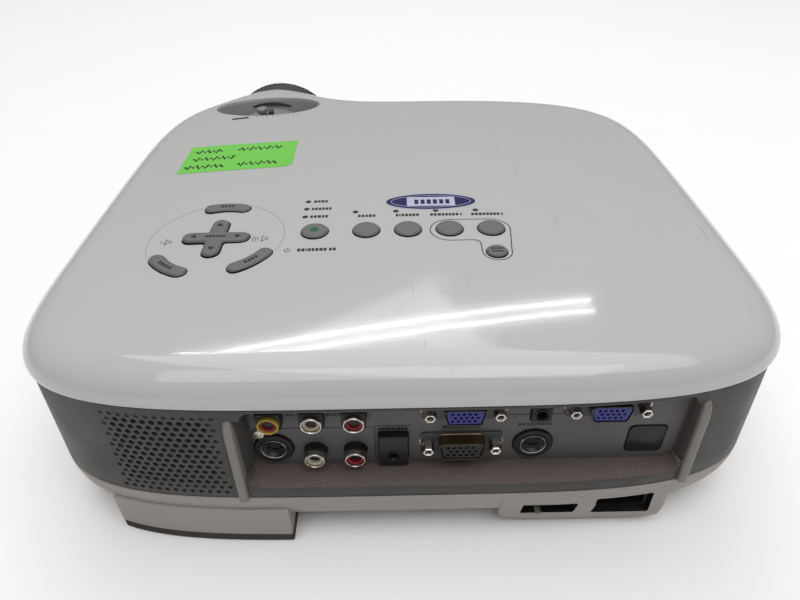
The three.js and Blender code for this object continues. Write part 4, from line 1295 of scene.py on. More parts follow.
@dataclass
class KeyPad:
    """The cross key, its three curved neighbours, the round keys and the small lights."""

    centre: Point = (79.5, 62.5)
    reach: float = 14.5
    arm: float = 7.3
    arc_radius: float = 26.3
    arc_half: float = 3.2
    arc_spread: float = 0.285
    proud: float = 1.25
    select_proud: float = 1.4
    select_drop: float = 3.8
    keys: tuple[RoundKey, ...] = (
        RoundKey("key_power", 36.9, 59.5),
        RoundKey("key_video", 14.3, 59.5),
        RoundKey("key_svideo", -3.9, 59.5),
        RoundKey("key_computer_1", -22.1, 59.5),
        RoundKey("key_computer_2", -40.3, 59.5),
        RoundKey("key_auto_adjust", -40.4, 77.9, 4.3),
    )
    arcs: tuple[tuple[str, float], ...] = (
        ("key_menu", -math.pi / 2), ("key_enter", 0.9), ("key_exit", 2.36)
    )
    status_lights: tuple[Point, ...] = ((42.5, 32.4), (42.5, 39.4), (42.5, 46.4))
    input_lights: tuple[Point, ...] = ((19.8, 43.2), (1.3, 43.2), (-16.9, 43.2), (-35.1, 43.2))

    def on_arc(self, turn: float) -> Point:
        """Returns the point of the curved keys' circle in one direction."""
        return arc(*self.centre, self.arc_radius, turn, turn, 1)[0]

    def bent(self, turn: float, grow: float) -> list[Point]:
        """Returns the outline of a curved key, wider by grow."""
        half = self.arc_half + grow
        start, end = turn - self.arc_spread, turn + self.arc_spread
        first, last = self.on_arc(start), self.on_arc(end)
        outer = arc(*self.centre, self.arc_radius + half, start, end, 10)
        inner = arc(*self.centre, self.arc_radius - half, end, start, 10)
        return [*outer, *arc(*last, half, end, end + math.pi, 8)[1:-1], *inner,
                *arc(*first, half, start + math.pi, start + 2 * math.pi, 8)[1:-1]]

    def cross(self, grow: float) -> list[Point]:
        """Returns the outline of the cross key, wider by grow, its arms round at their ends."""
        half, reach = self.arm / 2 + grow, self.reach + grow
        fillet = 1.1
        points: list[Point] = []
        for quarter in range(4):
            turn = quarter * math.pi / 2
            tip = arc(reach - half, 0, half, -math.pi / 2, math.pi / 2, 10)
            corner = arc(half + fillet, half + fillet, fillet, 1.5 * math.pi, math.pi, 4)
            for x, y in [*tip, *corner]:
                points.append((self.centre[0] + x * math.cos(turn) - y * math.sin(turn),
                               self.centre[1] + x * math.sin(turn) + y * math.cos(turn)))
        return points

    def holes(self) -> list[list[Point]]:
        """Returns the outlines of all the holes in the top."""
        found = [circle(k.x, k.y, k.radius + 0.45, 48) for k in self.keys]
        found += [self.bent(turn, 0.45) for _, turn in self.arcs]
        found += [circle(*spot, 1.35, 20) for spot in (*self.status_lights, *self.input_lights)]
        return [*found, self.cross(0.6)]

    @staticmethod
    def capped(
        outline: Callable[[float], list[Point]], surface: float, proud: float, drop: float = 2.6
    ) -> Thing:
        """Lofts a key: a black skirt up to the surface and a softly rounded cap above it.

        Args:
            outline: Gives the key's outline for an amount that it grows by.
            surface: Height of the top round the key.
            proud: How far the key stands above it.
            drop: How far under the top its hidden flange sits.

        Returns:
            The key, its cap painted with the second finish.
        """
        # The black skirt is the key's black base; where it shows round the key it also stands in as
        # painted shade for the gap.
        steps = [
            (0.9, -max(3.4, drop + 0.3)), (0.9, -drop), (0.1, -drop), (0.1, 0.58), (-0.15, 0.68)
        ]
        steps += [(-0.2, proud - 0.45), (-0.5, proud - 0.12), (-0.95, proud), (-2.2, proud - 0.05)]
        rings = [
            [Vector((x, y, surface + level)) for x, y in outline(grow)] for grow, level in steps
        ]
        key = Bench.loft(rings)
        return Bench.paint(key, 1, lambda centre, _: centre.z > surface + 0.62)

    def build(self) -> None:
        """Makes every key and finishes the small lights."""
        both = (Shop.BLACK, Shop.KEY)
        for key in self.keys:
            surface = PLAN.crown(key.x, key.y)
            made = self.capped(
                lambda grow: circle(key.x, key.y, key.radius + grow, 56), surface, self.proud
            )
            deliver(made, key.node + "_cap", both, key.node + "_body", [key.node], 40)
        for node, turn in self.arcs:
            surface = PLAN.crown(*self.on_arc(turn))
            made = self.capped(lambda grow: self.bent(turn, grow), surface, self.proud)
            deliver(made, node + "_cap", both, node + "_body", [node], 40)
        surface = PLAN.crown(*self.centre)
        made = self.capped(self.cross, surface, self.select_proud, self.select_drop)
        deliver(made, "key_select_cap", both, "select_key", ["key_select"], 40)
        for index, spot in enumerate((*self.status_lights, *self.input_lights)):
            surface = PLAN.crown(*spot)
            lens = Bench.turned(
                [
                    (1.15, surface - 3), (1.15, surface - 0.1), (0.9, surface + 0.05),
                    (0, surface + 0.1)
                ],
                spot, sides=24
            )
            deliver(lens, f"light_lens_{index + 1}", Shop.SMOKED)


# ------------------------------------------------------------------ printing


@dataclass
class Printing:
    """Ink on the top and the keys, the paper label and the oval sticker, without lettering."""

    pad: KeyPad
    ink: float = 0.05

    def line(
        self, points: Sequence[Point], width: float, lift: float = 0.0, height: Height = PLAN.crown
    ) -> Thing:
        """Lays a line of ink along points.

        Args:
            points: The middle of the line.
            width: How wide it is.
            lift: How high it lies over the surface.
            height: The surface it lies on.

        Returns:
            The line, a thin closed bar.
        """
        rings = []
        for (x, y), ends in zip(points, strip_edges(points, width)):
            base = height(x, y) + lift
            low = [Vector((*p, base - 0.02)) for p in ends]
            high = [Vector((*p, base + self.ink)) for p in reversed(ends)]
            rings.append([*low, *high])
        return Bench.loft(rings)

    def blocks(
        self, x: float, y: float, pattern: Sequence[float], tall: float = 2.1
    ) -> list[Thing]:
        """Sets a row of plain blocks, where a caption would be, running towards -X.

        Args:
            x: The middle of the row.
            y: The middle of its height.
            pattern: Widths of the blocks in order.
            tall: Their height.

        Returns:
            The blocks.
        """
        gap = 0.42
        at = x + (sum(pattern) + gap * (len(pattern) - 1)) / 2
        made = []
        for width in pattern:
            if width > 0.3:
                made.append(self.line([(at, y), (at - width, y)], tall))
            at -= width + gap
        return made

    def build(self) -> None:
        """Prints the top, then the keys, then lays on the label and the sticker."""
        self.print_lines()
        self.print_captions()
        self.print_keys()
        self.label()
        self.sticker()

    def print_lines(self) -> None:
        """Draws the broken circle round the cross key and the loop round the computer keys."""
        x, y = self.pad.centre
        reach = 29.5
        menu, enter, leave = (turn for _, turn in self.pad.arcs)
        right = arc(x, y, reach, menu - 0.34, leave + 0.40 - 2 * math.pi, 40)
        left = arc(x, y, reach, menu + 0.42, enter - 0.42, 36)
        lines = [self.line(points, 0.22) for points in (right, left)]
        deliver(Bench.merge(lines), "pad_circle", Shop.FAINT_INK)
        quarter = math.pi / 2
        loop = [
            *arc(-40.2, 59.9, 8.4, -quarter, -2 * quarter, 12),
            *arc(-40.6, 77.6, 6.1, 2 * quarter, quarter, 12),
            *arc(-40.6, 77.6, 6.1, quarter, 0, 10)[1:],
            *arc(-31.5, 71.5, 3.0, -2 * quarter, -quarter, 8),
            *arc(-22.1, 60.1, 8.5, quarter, -quarter, 18),
            (-26, 51.5), (-30, 51.5), (-34, 51.5), (-38, 51.5), (-40.2, 51.5),
        ]
        deliver(self.line(loop, 0.42), "computer_loop", Shop.INK)

    def print_captions(self) -> None:
        """Sets blocks in place of captions, the volume marks, the power mark and the zoom scale."""
        rows = (
            (36.6, 32.4, (1.4, 1.1, 1.5, 1.1)), (35.6, 39.4, (1.1, 1.2, 1.3, 1.1, 1.2, 1.1)),
            (36.2, 46.4, (1.2, 1.3, 1.5, 1.1, 1.2))
        )
        made: list[Thing] = []
        for x, y, pattern in rows:
            made += self.blocks(x, y, pattern)
        word = (1.2, 1.3, 1.1, 1.4, 1.2)
        made += self.blocks(14.5, 46.9, word)
        made += self.blocks(-3.9, 46.9, (1.1, 0.6, *word))
        for x in (-21.4, -40.0):
            made += self.blocks(x, 46.9, (1.2, 1.3, 1.5, 1.1, 1.2, 1.1, 1.2, 1.2, 0.0, 0.7))
        made += self.blocks(34.8, 73.6, (1.3, 1.4, 0.5, 1.2, 1.1, 1.3, 1.4, 1.2, 0.2, 1.2, 1.2))
        made += [
            self.line(arc(47.2, 73.6, 1.15, -math.pi / 2 + 0.6, 1.5 * math.pi - 0.6, 14), 0.32)
        ]
        made += [self.line([(47.2, 71.9), (47.2, 73.3)], 0.32)]
        for x, waves in ((100.4, 1), (58.4, 3)):
            made.append(self.line([(x - 1.6, 63.2), (x - 0.2, 62.9), (x + 1.0, 61.6)], 0.3))
            made.append(self.line([(x - 1.6, 64.4), (x - 0.2, 64.7), (x + 1.0, 66.0)], 0.3))
            made += [
                self.line([(x + 1.0, 61.6), (x + 1.0, 66.0)], 0.3),
                self.line([(x - 1.6, 63.2), (x - 1.6, 64.4)], 0.3)
            ]
            made += [
                self.line(arc(x + 0.6, 63.8, 2.2 + 1.1 * n, -0.5, 0.5, 6), 0.28)
                for n in range(waves)
            ]
        deliver(Bench.merge(made), "top_captions", Shop.INK)
        scale = [self.line([(101.4, -78.4), (91.5, -80.3)], 2.4)]
        scale += [
            self.line([(86.5 - 3.2 * n, -81.6 - 0.2 * n), (86.5 - 3.2 * n, -80.3 - 0.2 * n)], 0.5)
            for n in range(9)
        ]
        deliver(Bench.merge(scale), "zoom_scale", Shop.INK)

    def print_keys(self) -> None:
        """Marks the keys: four arrowheads, small blocks and a green dot."""
        x, y = self.pad.centre
        surface = PLAN.crown(x, y) + self.pad.select_proud
        flat = lambda a, b: surface - 0.02
        marks = []
        for quarter in range(4):
            turn = quarter * math.pi / 2
            dx, dy = math.cos(turn), math.sin(turn)
            corners = [(10.9, 0), (8.6, 1.45), (8.6, -1.45)]
            outline = [(x + a * dx - b * dy, y + a * dy + b * dx) for a, b in corners]
            marks.append(Bench.prism(outline, surface - 0.06, surface + self.ink))
        at = x + 4.4
        for width in (1.1, 1.1, 1.0, 1.1, 1.1, 1.1):
            marks.append(self.line([(at, y), (at - width, y)], 1.4, height=flat))
            at -= width + 0.4
        deliver(Bench.merge(marks), "select_marks", Shop.INK, "select_key")
        for (node, turn), count in zip(self.pad.arcs, (4, 5, 4)):
            marks = []
            for step in range(count):
                t = turn + (step - (count - 1) / 2) * 0.065
                middle = self.pad.on_arc(t)
                level = PLAN.crown(*self.pad.on_arc(turn)) + 1.22
                out = Vector((math.cos(t), math.sin(t))) * 0.8
                ends = [
                    (middle[0] - out.x, middle[1] - out.y), (middle[0] + out.x, middle[1] + out.y)
                ]
                marks.append(self.line(ends, 1.1, height=lambda a, b: level))
            deliver(Bench.merge(marks), node + "_marks", Shop.INK, node + "_body")
        power, auto = self.pad.keys[0], self.pad.keys[-1]
        level = PLAN.crown(power.x, power.y) + 1.17
        dot = Bench.turned(
            [(1.75, level), (1.75, level + 0.12), (1.5, level + 0.16), (0, level + 0.17)],
            (power.x, power.y), sides=40
        )
        deliver(dot, "power_dot", Shop.GREEN_DOT, "key_power_body")
        level = PLAN.crown(auto.x, auto.y) + 1.2
        marks = [
            self.line(
                [(auto.x + 2.4 - 1.3 * n, auto.y + row), (auto.x + 1.4 - 1.3 * n, auto.y + row)],
                1.1, height=lambda a, b: level
            )
            for row, count in ((-1.0, 4), (1.1, 4))
            for n in range(count)
        ]
        deliver(Bench.merge(marks), "auto_marks", Shop.INK, "key_auto_adjust_body")

    def label(self) -> None:
        """Lays on the green paper label, one corner clipped, with plain pen strokes."""
        cx, cy, tilt = 86.2, -21.2, math.radians(4.3)

        def place(a: float, b: float) -> Point:
            """Turns a point of the label into one of the top."""
            return (
                cx + a * math.cos(tilt) - b * math.sin(tilt),
                cy + a * math.sin(tilt) + b * math.cos(tilt)
            )

        corners = [(27.6, -17.4), (-31.4, -16.8), (-29.8, 13.5), (-26.4, 16.5), (30.1, 16.3)]
        outline: list[Point] = []
        for (a, b), (c, d) in zip(corners, corners[1:] + corners[:1]):
            outline += [place(a + (c - a) * n / 8, b + (d - b) * n / 8) for n in range(8)]
        deliver(crown_patch(outline, 0.02, 0.13), "paper_label", Shop.PAPER)
        strokes = []
        for row, (start, end, breaks) in enumerate(
            ((24, -24, (9, 2)), (24, 2, ()), (27, -22, (6, 0)))
        ):
            points: list[Point] = []
            step = 0
            a = start
            while a > end:
                hidden = breaks and breaks[0] > a > breaks[1]
                if hidden:
                    if len(points) > 2:
                        strokes.append(self.line(points, 1.55, 0.15))
                    points = []
                else:
                    wave = (2.1 if step % 2 else -2.1) * (1.0 if step % 3 else 0.55)
                    points.append(place(a, -9.6 + 9.7 * row + wave))
                a -= 1.55
                step += 1
            strokes.append(self.line(points, 1.55, 0.15))
        deliver(Bench.merge(strokes), "pen_strokes", Shop.PEN)

    def sticker(self) -> None:
        """Lays on the plain blue oval with its pale edge."""
        edge = crown_patch(ellipse(-15.1, 34.8, 21.4, 7.7, 72), 0.02, 0.07)
        deliver(edge, "sticker_edge", Shop.STICKER_EDGE)
        oval = crown_patch(ellipse(-15.1, 34.8, 20.9, 7.2, 72), 0.05, 0.08)
        deliver(oval, "oval_sticker", Shop.STICKER)
        inner = [(x, y) for x, y in ellipse(-15.1, 34.8, 18.6, 5.6, 73)]
        deliver(self.line(inner, 0.28, 0.12), "sticker_line", Shop.STICKER_EDGE)
        plate = crown_patch(rounded(-15.1, 34.9, 22.4, 8.4, 0.6, 6), 0.1, 0.06)
        deliver(plate, "sticker_plate", Shop.STICKER_EDGE)
        marks = [
            self.line([(-7.4 - 2.9 * n, 35.2), (-9.3 - 2.9 * n, 35.2)], 4.2, 0.12) for n in range(6)
        ]
        deliver(Bench.merge(marks), "sticker_blocks", Shop.STICKER)


# ------------------------------------------------------------------ sockets


@dataclass(frozen=True)
class Phono:
    """A phono jack: its CAD node, place and insulator."""

    node: str
    x: float
    z: float
    insulator: Finish
    slot: str
    collar: Finish = Shop.NICKEL
    hooded: bool = False


@dataclass
class Sockets:
    """The terminal plate with its printing, and the twelve sockets that stand through it."""

    plate_y: float = 140.0
    tip_y: float = 145.6
    round_x: float = 48.9
    reach: float = 5.3
    screw_half_pitch: float = 12.5
    pin_pitch: float = 2.29
    row_pitch: float = 2.0
    phonos: tuple[Phono, ...] = (
        Phono("video_in_jack", 48.2, 62.3, Shop.RED, "phono_yellow", Shop.YELLOW, True),
        Phono("audio_left_jack", 32.8, 62.3, Shop.IVORY, "phono_white", hooded=True),
        Phono("audio_right_jack", 17.6, 62.3, Shop.RED, "phono_red", hooded=True),
        Phono("svideo_audio_left_jack", 33.3, 42.8, Shop.IVORY, "phono_white"),
        Phono("svideo_audio_right_jack", 18.1, 42.8, Shop.RED, "phono_red"),
    )

    def build(self) -> None:
        """Makes every socket, the sensor window and the printing."""
        self.plate()
        for jack in self.phonos:
            self.phono(jack)
        for node, x in (("svideo_socket", self.round_x), ("pc_control_socket", -self.round_x)):
            self.round_socket(node, x, SOCKET_HEIGHT)
        for node, place in zip(("computer_1_socket", "computer_2_socket"), INPUT_SOCKETS):
            self.wide_socket(node, *place, Shop.BLUE, "socket_blue")
        self.wide_socket("monitor_out_socket", *OUTPUT_SOCKET, Shop.BLACK, "steel")
        self.block_jack("audio_out_jack", (3.7, 44.6), (11, 16), 41.6, 3.0)
        self.block_jack("computer_audio_jack", (-50.4, 61.6), (7.4, 7.4), 61.6, 1.6)
        window = Bench.prism(rounded(-91.5, 46.2, 14, 14.4, 2.4), 137, 140.55, Axis.Y)
        deliver(
            Bench.soften(window, 0.3, 2), "sensor_window", Shop.SMOKED,
            replaces=["rear_sensor_window"]
        )
        self.printing()

    def plate(self) -> None:
        """Makes the plate with a hole for each socket, rounded at its lower corners."""
        plate = Bench.box((-103.3, 138, 35.1), (56.3, 140, 75.2), 4.4, Axis.Y)
        holes = [circle(jack.x, jack.z, 4.6, 40) for jack in self.phonos]
        holes += [circle(x, SOCKET_HEIGHT, 7.7, 48) for x in (self.round_x, -self.round_x)]
        holes += [rounded(x, z, 19.4, 10.6, 1.0) for x, z in (*INPUT_SOCKETS, OUTPUT_SOCKET)]
        holes += [
            rounded(3.7, 44.6, 11.6, 16.6, 0.6),
            rounded(-50.4, 61.6, 8.0, 8.0, 0.6),
            rounded(-91.5, 46.2, 14.6, 15.0, 2.4),
        ]
        tools = [Bench.prism(hole, *PLATE_HOLES, Axis.Y) for hole in holes]
        Bench.carve(plate, Bench.merge(tools))
        deliver(plate, "terminal_panel", Shop.PANEL, replaces=["terminal_plate"])

    def phono(self, jack: Phono) -> None:
        """Makes one phono jack: dark body, bright collar and coloured insulator."""
        tip = self.tip_y
        place = (jack.x, jack.z)
        body = Bench.turned(
            [(0, 126), (4.3, 126), (4.3, tip - 2.4), (3.9, tip - 2.2), (0, tip - 2.2)], place,
            Axis.Y, 40
        )
        if jack.hooded:
            hood = Bench.box(
                (jack.x - 4.4, 139.2, jack.z - 3.4), (jack.x + 4.4, tip - 1.6, jack.z + 4.9), 0.5
            )
            body = Bench.merge([body, hood])
        deliver(body, jack.node + "_body", Shop.BLACK)
        rim = [
            (3.9, tip - 2.9), (3.9, tip - 0.25), (3.7, tip), (3.4, tip), (3.25, tip - 0.2),
            (3.2, tip - 2.9)
        ]
        deliver(
            Bench.turned(rim, place, Axis.Y, 48, closed=True), jack.node + "_collar", jack.collar,
            replaces=[jack.node]
        )
        core = [
            (3.22, tip - 3.2), (3.22, tip - 1.0), (2.8, tip - 0.7), (2.4, tip - 0.7),
            (2.1, tip - 1.0), (2.0, tip - 3.2)
        ]
        deliver(
            Bench.turned(core, place, Axis.Y, 40, closed=True), jack.node + "_insulator",
            jack.insulator
        )

    def round_socket(self, node: str, x: float, z: float) -> None:
        """Makes a round socket: black flange, bright shell, dark core with pin holes and a key."""
        y = self.plate_y
        flange = [
            (4.95, y - 4), (7.4, y - 4), (7.4, y + 0.9), (7.1, y + 1.2), (5.5, y + 1.2),
            (4.95, y + 0.9)
        ]
        deliver(
            Bench.turned(flange, (x, z), Axis.Y, 64, closed=True), node + "_flange", Shop.BLACK,
            replaces=[node]
        )
        shell = [
            (4.55, y - 4), (4.9, y - 4), (4.9, y + 1.35), (4.8, y + 1.45), (4.6, y + 1.4),
            (4.5, y + 1.1)
        ]
        deliver(
            Bench.turned(shell, (x, z), Axis.Y, 64, closed=True), node + "_shell", Shop.NICKEL,
        )
        core = Bench.turned(
            [(0, y - 4), (4.5, y - 4), (4.5, y - 0.6), (0, y - 0.6)], (x, z), Axis.Y, 48
        )
        holes = [
            Bench.prism(
                circle(x + 2.6 * math.cos(t), z + 2.6 * math.sin(t), 0.5, 12), y - 3, y + 1, Axis.Y
            )
            for t in (0.5, 1.2, 1.94, 2.64, 3.6, 5.8)
        ]
        holes.append(Bench.box((x - 1.2, y - 3, z - 2.4), (x + 1.2, y + 1, z - 1.4)))
        Bench.carve(core, Bench.merge(holes))
        deliver(core, node + "_core", Shop.BLACK)

    def wide_socket(self, node: str, x: float, z: float, insert: Finish, slot: str) -> None:
        """Makes a 15-way socket: plated shell, insert with three rows of holes, and two jackscrews.

        Args:
            node: Its CAD node.
            x: Its middle.
            z: Its middle height.
            insert: The insulator's finish.
            slot: Not used.
        """
        y, reach = self.plate_y, self.reach
        size = 0.88 if insert is Shop.BLUE else 1.0

        def shape(grow: float) -> list[Point]:
            """Returns the tapered outline of the shell, wider by grow."""
            corners = tuple(
                (a * size, b * size)
                for a, b in ((8.2, 4.1), (-8.2, 4.1), (-7.2, -4.1), (7.2, -4.1))
            )
            points: list[Point] = []
            for index, (a, b) in enumerate(corners):
                centre = (x + math.copysign(abs(a) - 1.5, a), z + math.copysign(abs(b) - 1.5, b))
                points += arc(
                    *centre, 1.5 + grow, index * math.pi / 2, (index + 1) * math.pi / 2, 6
                )
            return points

        steps = [
            (0.1, 0.2), (0.9, 0.2), (0.45, 0.7), (0.3, 1.2), (0.3, reach), (0.15, reach + 0.15),
            (0.0, reach), (-0.05, 0.2)
        ]
        rings = [[Vector((a, y + level, b)) for a, b in shape(grow)] for grow, level in steps]
        # The blue sockets' shells get the darkened plate, painted shade for the rim's shadow.
        metal = Shop.GOLD if insert is Shop.BLACK else Shop.SHADED_PLATE
        deliver(Bench.loft(rings, closed=True), node + "_shell", metal, replaces=[node])
        block = Bench.prism(shape(-0.45), y - 4, y + reach - 0.3, Axis.Y)
        holes = []
        for row, lead in enumerate((0.6, -0.54, 0.6)):
            for column in range(5):
                across = x + ((column - 2) * self.pin_pitch + lead) * size
                height = z + (1 - row) * self.row_pitch * size
                hole = circle(across, height, 0.6, 10)
                holes.append(Bench.prism(hole, y + reach - 2, y + reach + 2, Axis.Y))
        Bench.carve(block, Bench.merge(holes))
        deliver(block, node + "_insert", insert)
        flange = Bench.box(
            (x - 15.3, y + 0.05, z - 5.6), (x + 15.3, y + 0.55, z + 5.6), 1.6, Axis.Y
        )
        deliver(flange, node + "_flange", Shop.DARK)
        nut = [
            (0, 0.3), (2.3, 0.3), (2.3, 4.9), (2.0, 5.3), (1.45, 5.3), (1.25, 5.0), (1.25, 2.4),
            (0, 2.4)
        ]
        washer = [(0, 0), (3.5, 0), (3.5, 0.35), (3.3, 0.5), (0, 0.5)]
        # Painted shade: a thin black disc inside each jackscrew's bore makes the threaded hole look
        # dark.
        well = [(0, 3.9), (1.23, 3.9), (1.23, 4.0), (0, 4.0)]
        screws: list[Thing] = []
        painted_hole_shades: list[Thing] = []
        for side in (-self.screw_half_pitch, self.screw_half_pitch):
            for profile, sides, made in ((nut, 6, screws), (washer, 32, screws), (well, 20, painted_hole_shades)):
                raised = [(radius, y + level) for radius, level in profile]
                made.append(Bench.turned(raised, (x + side, z), Axis.Y, sides))
        deliver(Bench.merge(screws), node + "_jackscrews", Shop.NICKEL)
        deliver(Bench.merge(painted_hole_shades), node + "_screw_hole_shade", Shop.BLACK)

    def block_jack(self, node: str, place: Point, size: Point, hole_z: float, reach: float) -> None:
        """Makes a black block jack with a round mouth and a raised ring round it."""
        x, z = place
        y = self.plate_y
        low, high = (x - size[0] / 2, 126, z - size[1] / 2), (
            x + size[0] / 2, y + reach, z + size[1] / 2
        )
        block = Bench.box(low, high, 0.4)
        mouth = Bench.turned(
            [
                (0, y - 5), (1.8, y - 5), (1.8, y + reach - 0.5), (2.3, y + reach + 0.3),
                (0, y + reach + 0.3)
            ],
            (x, hole_z), Axis.Y, 32
        )
        Bench.carve(block, mouth)
        collar = [
            (2.4, y + reach - 0.1), (3.1, y + reach - 0.1), (3.1, y + reach + 0.25),
            (2.9, y + reach + 0.4), (2.5, y + reach + 0.4)
        ]
        ring = Bench.turned(collar, (x, hole_z), Axis.Y, 40, closed=True)
        deliver(
            Bench.merge([block, ring]), node + "_block", Shop.BLACK,
            replaces=[node]
        )

    def printing(self) -> None:
        """Prints the thin lines that group the sockets, and blocks in place of captions."""
        y = self.plate_y

        def bar(points: Sequence[Point], width: float) -> Thing:
            """Returns a thin closed bar of ink on the plate."""
            depths = (-0.02, -0.02, 0.06, 0.06)
            return Bench.loft(
                [
                    [
                        Vector((a, y + depth, b))
                        for (a, b), depth in zip((*ends, *reversed(ends)), depths)
                    ]
                    for ends in strip_edges(points, width)
                ]
            )

        dark = [bar([(53, 55.4), (11.5, 55.4)], 0.3)]
        dark.append(
            bar(
                [(10.6, 36.6), (10.6, 54.4), *arc(9.2, 54.4, 1.4, 0, math.pi / 2, 6), (-3.0, 55.8)],
                0.3
            )
        )
        dark.append(bar([(-6.5, 60.6), (-66, 60.6)], 0.25))
        dark.append(
            bar(
                [
                    (-80, 60.6), (-86, 60.6), *arc(-86, 64.6, 4.0, -math.pi / 2, -math.pi, 8),
                    (-90, 70)
                ],
                0.25
            )
        )
        captions = (
            (24.5, 62.3, (1.0, 0.9, 1.0, 0.6, 1.1)), (40.6, 62.6, (1.2, 1.1)),
            (3.7, 54.2, (1.1, 1.0, 1.1, 0.6, 1.1, 0.0, 1.1, 1.0, 1.0)),
            (-21.8, 54.6, (1.3, 1.1, 1.1, 0.6, 1.0, 1.1, 1.1, 0.0, 1.1, 1.0, 1.0)),
            (-49.0, 55.2, (1.1, 1.0, 0.0, 1.0, 1.1, 1.1, 1.0, 1.1, 1.1, 0.8))
        )
        for x, z, pattern in captions:
            at = x + (sum(pattern) + 0.35 * len(pattern)) / 2
            for width in pattern:
                if width:
                    dark.append(bar([(at, z), (at - width, z)], 1.3))
                at -= width + 0.35
        deliver(Bench.merge(dark), "panel_printing", Shop.INK)
        screw = [(0, y - 1), (2.5, y - 1), (2.5, y + 0.5), (1.9, y + 1.0), (0, y + 1.15)]
        head = Bench.turned(screw, (53.6, 53.0), Axis.Y, 32)
        slots = [
            Bench.box((53.6 - a, y + 0.6, 53 - b), (53.6 + a, y + 2, 53 + b))
            for a, b in ((1.5, 0.25), (0.25, 1.5))
        ]
        for slot in slots:
            Bench.carve(head, slot)
        deliver(head, "panel_screw", Shop.NICKEL)


# ------------------------------------------------------------------ front, underside and inside


@dataclass
class FrontFace:
    """The louvred intake, the remote's window and the foot's release, in the front of the band."""

    louvres: int = 9

    def build(self) -> None:
        """Makes the intake, and finishes the window and the button."""
        low, high = node_corners("front_vent_grille")
        frame_piece = Bench.loft([PLAN.ring(0.9, 30), PLAN.ring(0.9, 75)])
        Bench.carve(frame_piece, Bench.loft([PLAN.ring(2.7, 20), PLAN.ring(2.7, 85)]))
        Bench.carve(
            frame_piece, Bench.box((low.x, -135, low.z), (high.x, -60, high.z), 0.9, Axis.Y),
            Carve.KEEP
        )
        gap = (high.z - low.z - 4) / self.louvres
        slots = []
        for row in range(self.louvres):
            z = low.z + 2 + gap * row
            middle = (low.x + high.x) / 2
            for side in (-1, 1):
                start, end = (low.x + 2.5, middle - 1.2) if side < 0 else (
                    middle + 1.2, high.x - 2.5
                )
                slots.append(
                    Bench.box((start, -140, z + 0.5), (end, -50, z + gap - 0.9), 0.5, Axis.Y)
                )
        Bench.carve(frame_piece, Bench.merge(slots))
        # The intake gets the band's darkened silver, which carries painted shade.
        deliver(
            frame_piece, "front_intake", Shop.SHADED_SILVER, replaces=["front_vent_grille"]
        )
        refinish("front_sensor_window", Shop.SMOKED)
        refinish("front_foot_button", Shop.KEY)
        refinish("front_foot_sleeve", Shop.DARK)


@dataclass
class Underside:
    """The two doors under the case, their screw, and the case screws."""

    screws: tuple[Point, ...] = ((-118, 118), (118, 98), (-110, -78), (116, -78), (0, 128))

    def build(self) -> None:
        """Makes the doors, louvred where air goes in, and the screws."""
        door = Bench.prism(door_outline("filter_cover"), *DOOR_LEVELS)
        low, high = node_corners("filter_cover")
        slots = []
        for row in range(11):
            y = low.y + 9 + row * (high.y - low.y - 18) / 10
            for start, end in ((low.x + 8, low.x + 46), (low.x + 50, high.x - 8)):
                slots.append(
                    Bench.prism(rounded((start + end) / 2, y, end - start, 2.6, 1.25, 4), 0, 20)
                )
        Bench.carve(door, Bench.merge(slots))
        deliver(
            Bench.soften(door, 0.25, 2, 50), "filter_door", Shop.WARM_WHITE,
            replaces=["filter_cover"]
        )
        mesh_sheet = Bench.prism(
            rounded((low.x + high.x) / 2, (low.y + high.y) / 2, 88, 62, 3), 10.3, 11.5
        )
        deliver(mesh_sheet, "filter_foam", Shop.RUBBER)
        door = Bench.prism(door_outline("lamp_cover"), *DOOR_LEVELS)
        Bench.carve(
            door, Bench.turned([(3.9, 0), (3.9, 8.7), (2.1, 8.7), (2.1, 20)], (72, 28), sides=32)
        )
        for row in range(4):
            Bench.carve(door, Bench.prism(rounded(72, 88 + 3.2 * row, 26, 1.2, 0.5, 3), 0, 8.5))
        deliver(
            Bench.soften(door, 0.25, 2, 50), "lamp_door", Shop.WARM_WHITE,
            replaces=["lamp_cover"]
        )
        refinish("lamp_cover_screw", Shop.NICKEL)
        heads = []
        for x, y in self.screws:
            profile = [(0, 7.45), (2.6, 7.5), (3.1, 7.75), (3.1, 9.5), (0, 9.5)]
            head = Bench.turned(profile, (x, y), sides=28)
            for a, b in ((1.9, 0.3), (0.3, 1.9)):
                Bench.carve(head, Bench.box((x - a, y - b, 7), (x + a, y + b, 8.1)))
            heads.append(head)
        deliver(Bench.merge(heads), "case_screws", Shop.NICKEL)


class Inside:
    """The boards, castings, lamp and fan, which keep their CAD shape and get real finishes."""

    FINISHES: dict[str, Finish] = {
        "select_gimbal": Shop.BLACK,
        "key_board": Shop.BOARD,
        "status_light_guide": Shop.LIGHT_PIPE,
        "input_light_guide": Shop.LIGHT_PIPE,
        "terminal_board": Shop.BOARD,
        "optical_engine": Shop.CAST,
        "lamp_housing": Shop.DARK,
        "lamp_reflector": Shop.MIRROR,
        "exhaust_fan_frame": Shop.BLACK,
        "exhaust_fan_rotor": Shop.BLACK,
        "main_board": Shop.BOARD,
        "power_supply": Shop.BOARD,
        "speaker": Shop.BLACK,
    }

    def build(self) -> None:
        """Finishes every inner node."""
        for node, finish in self.FINISHES.items():
            refinish(node, finish)


# ------------------------------------------------------------------ studio


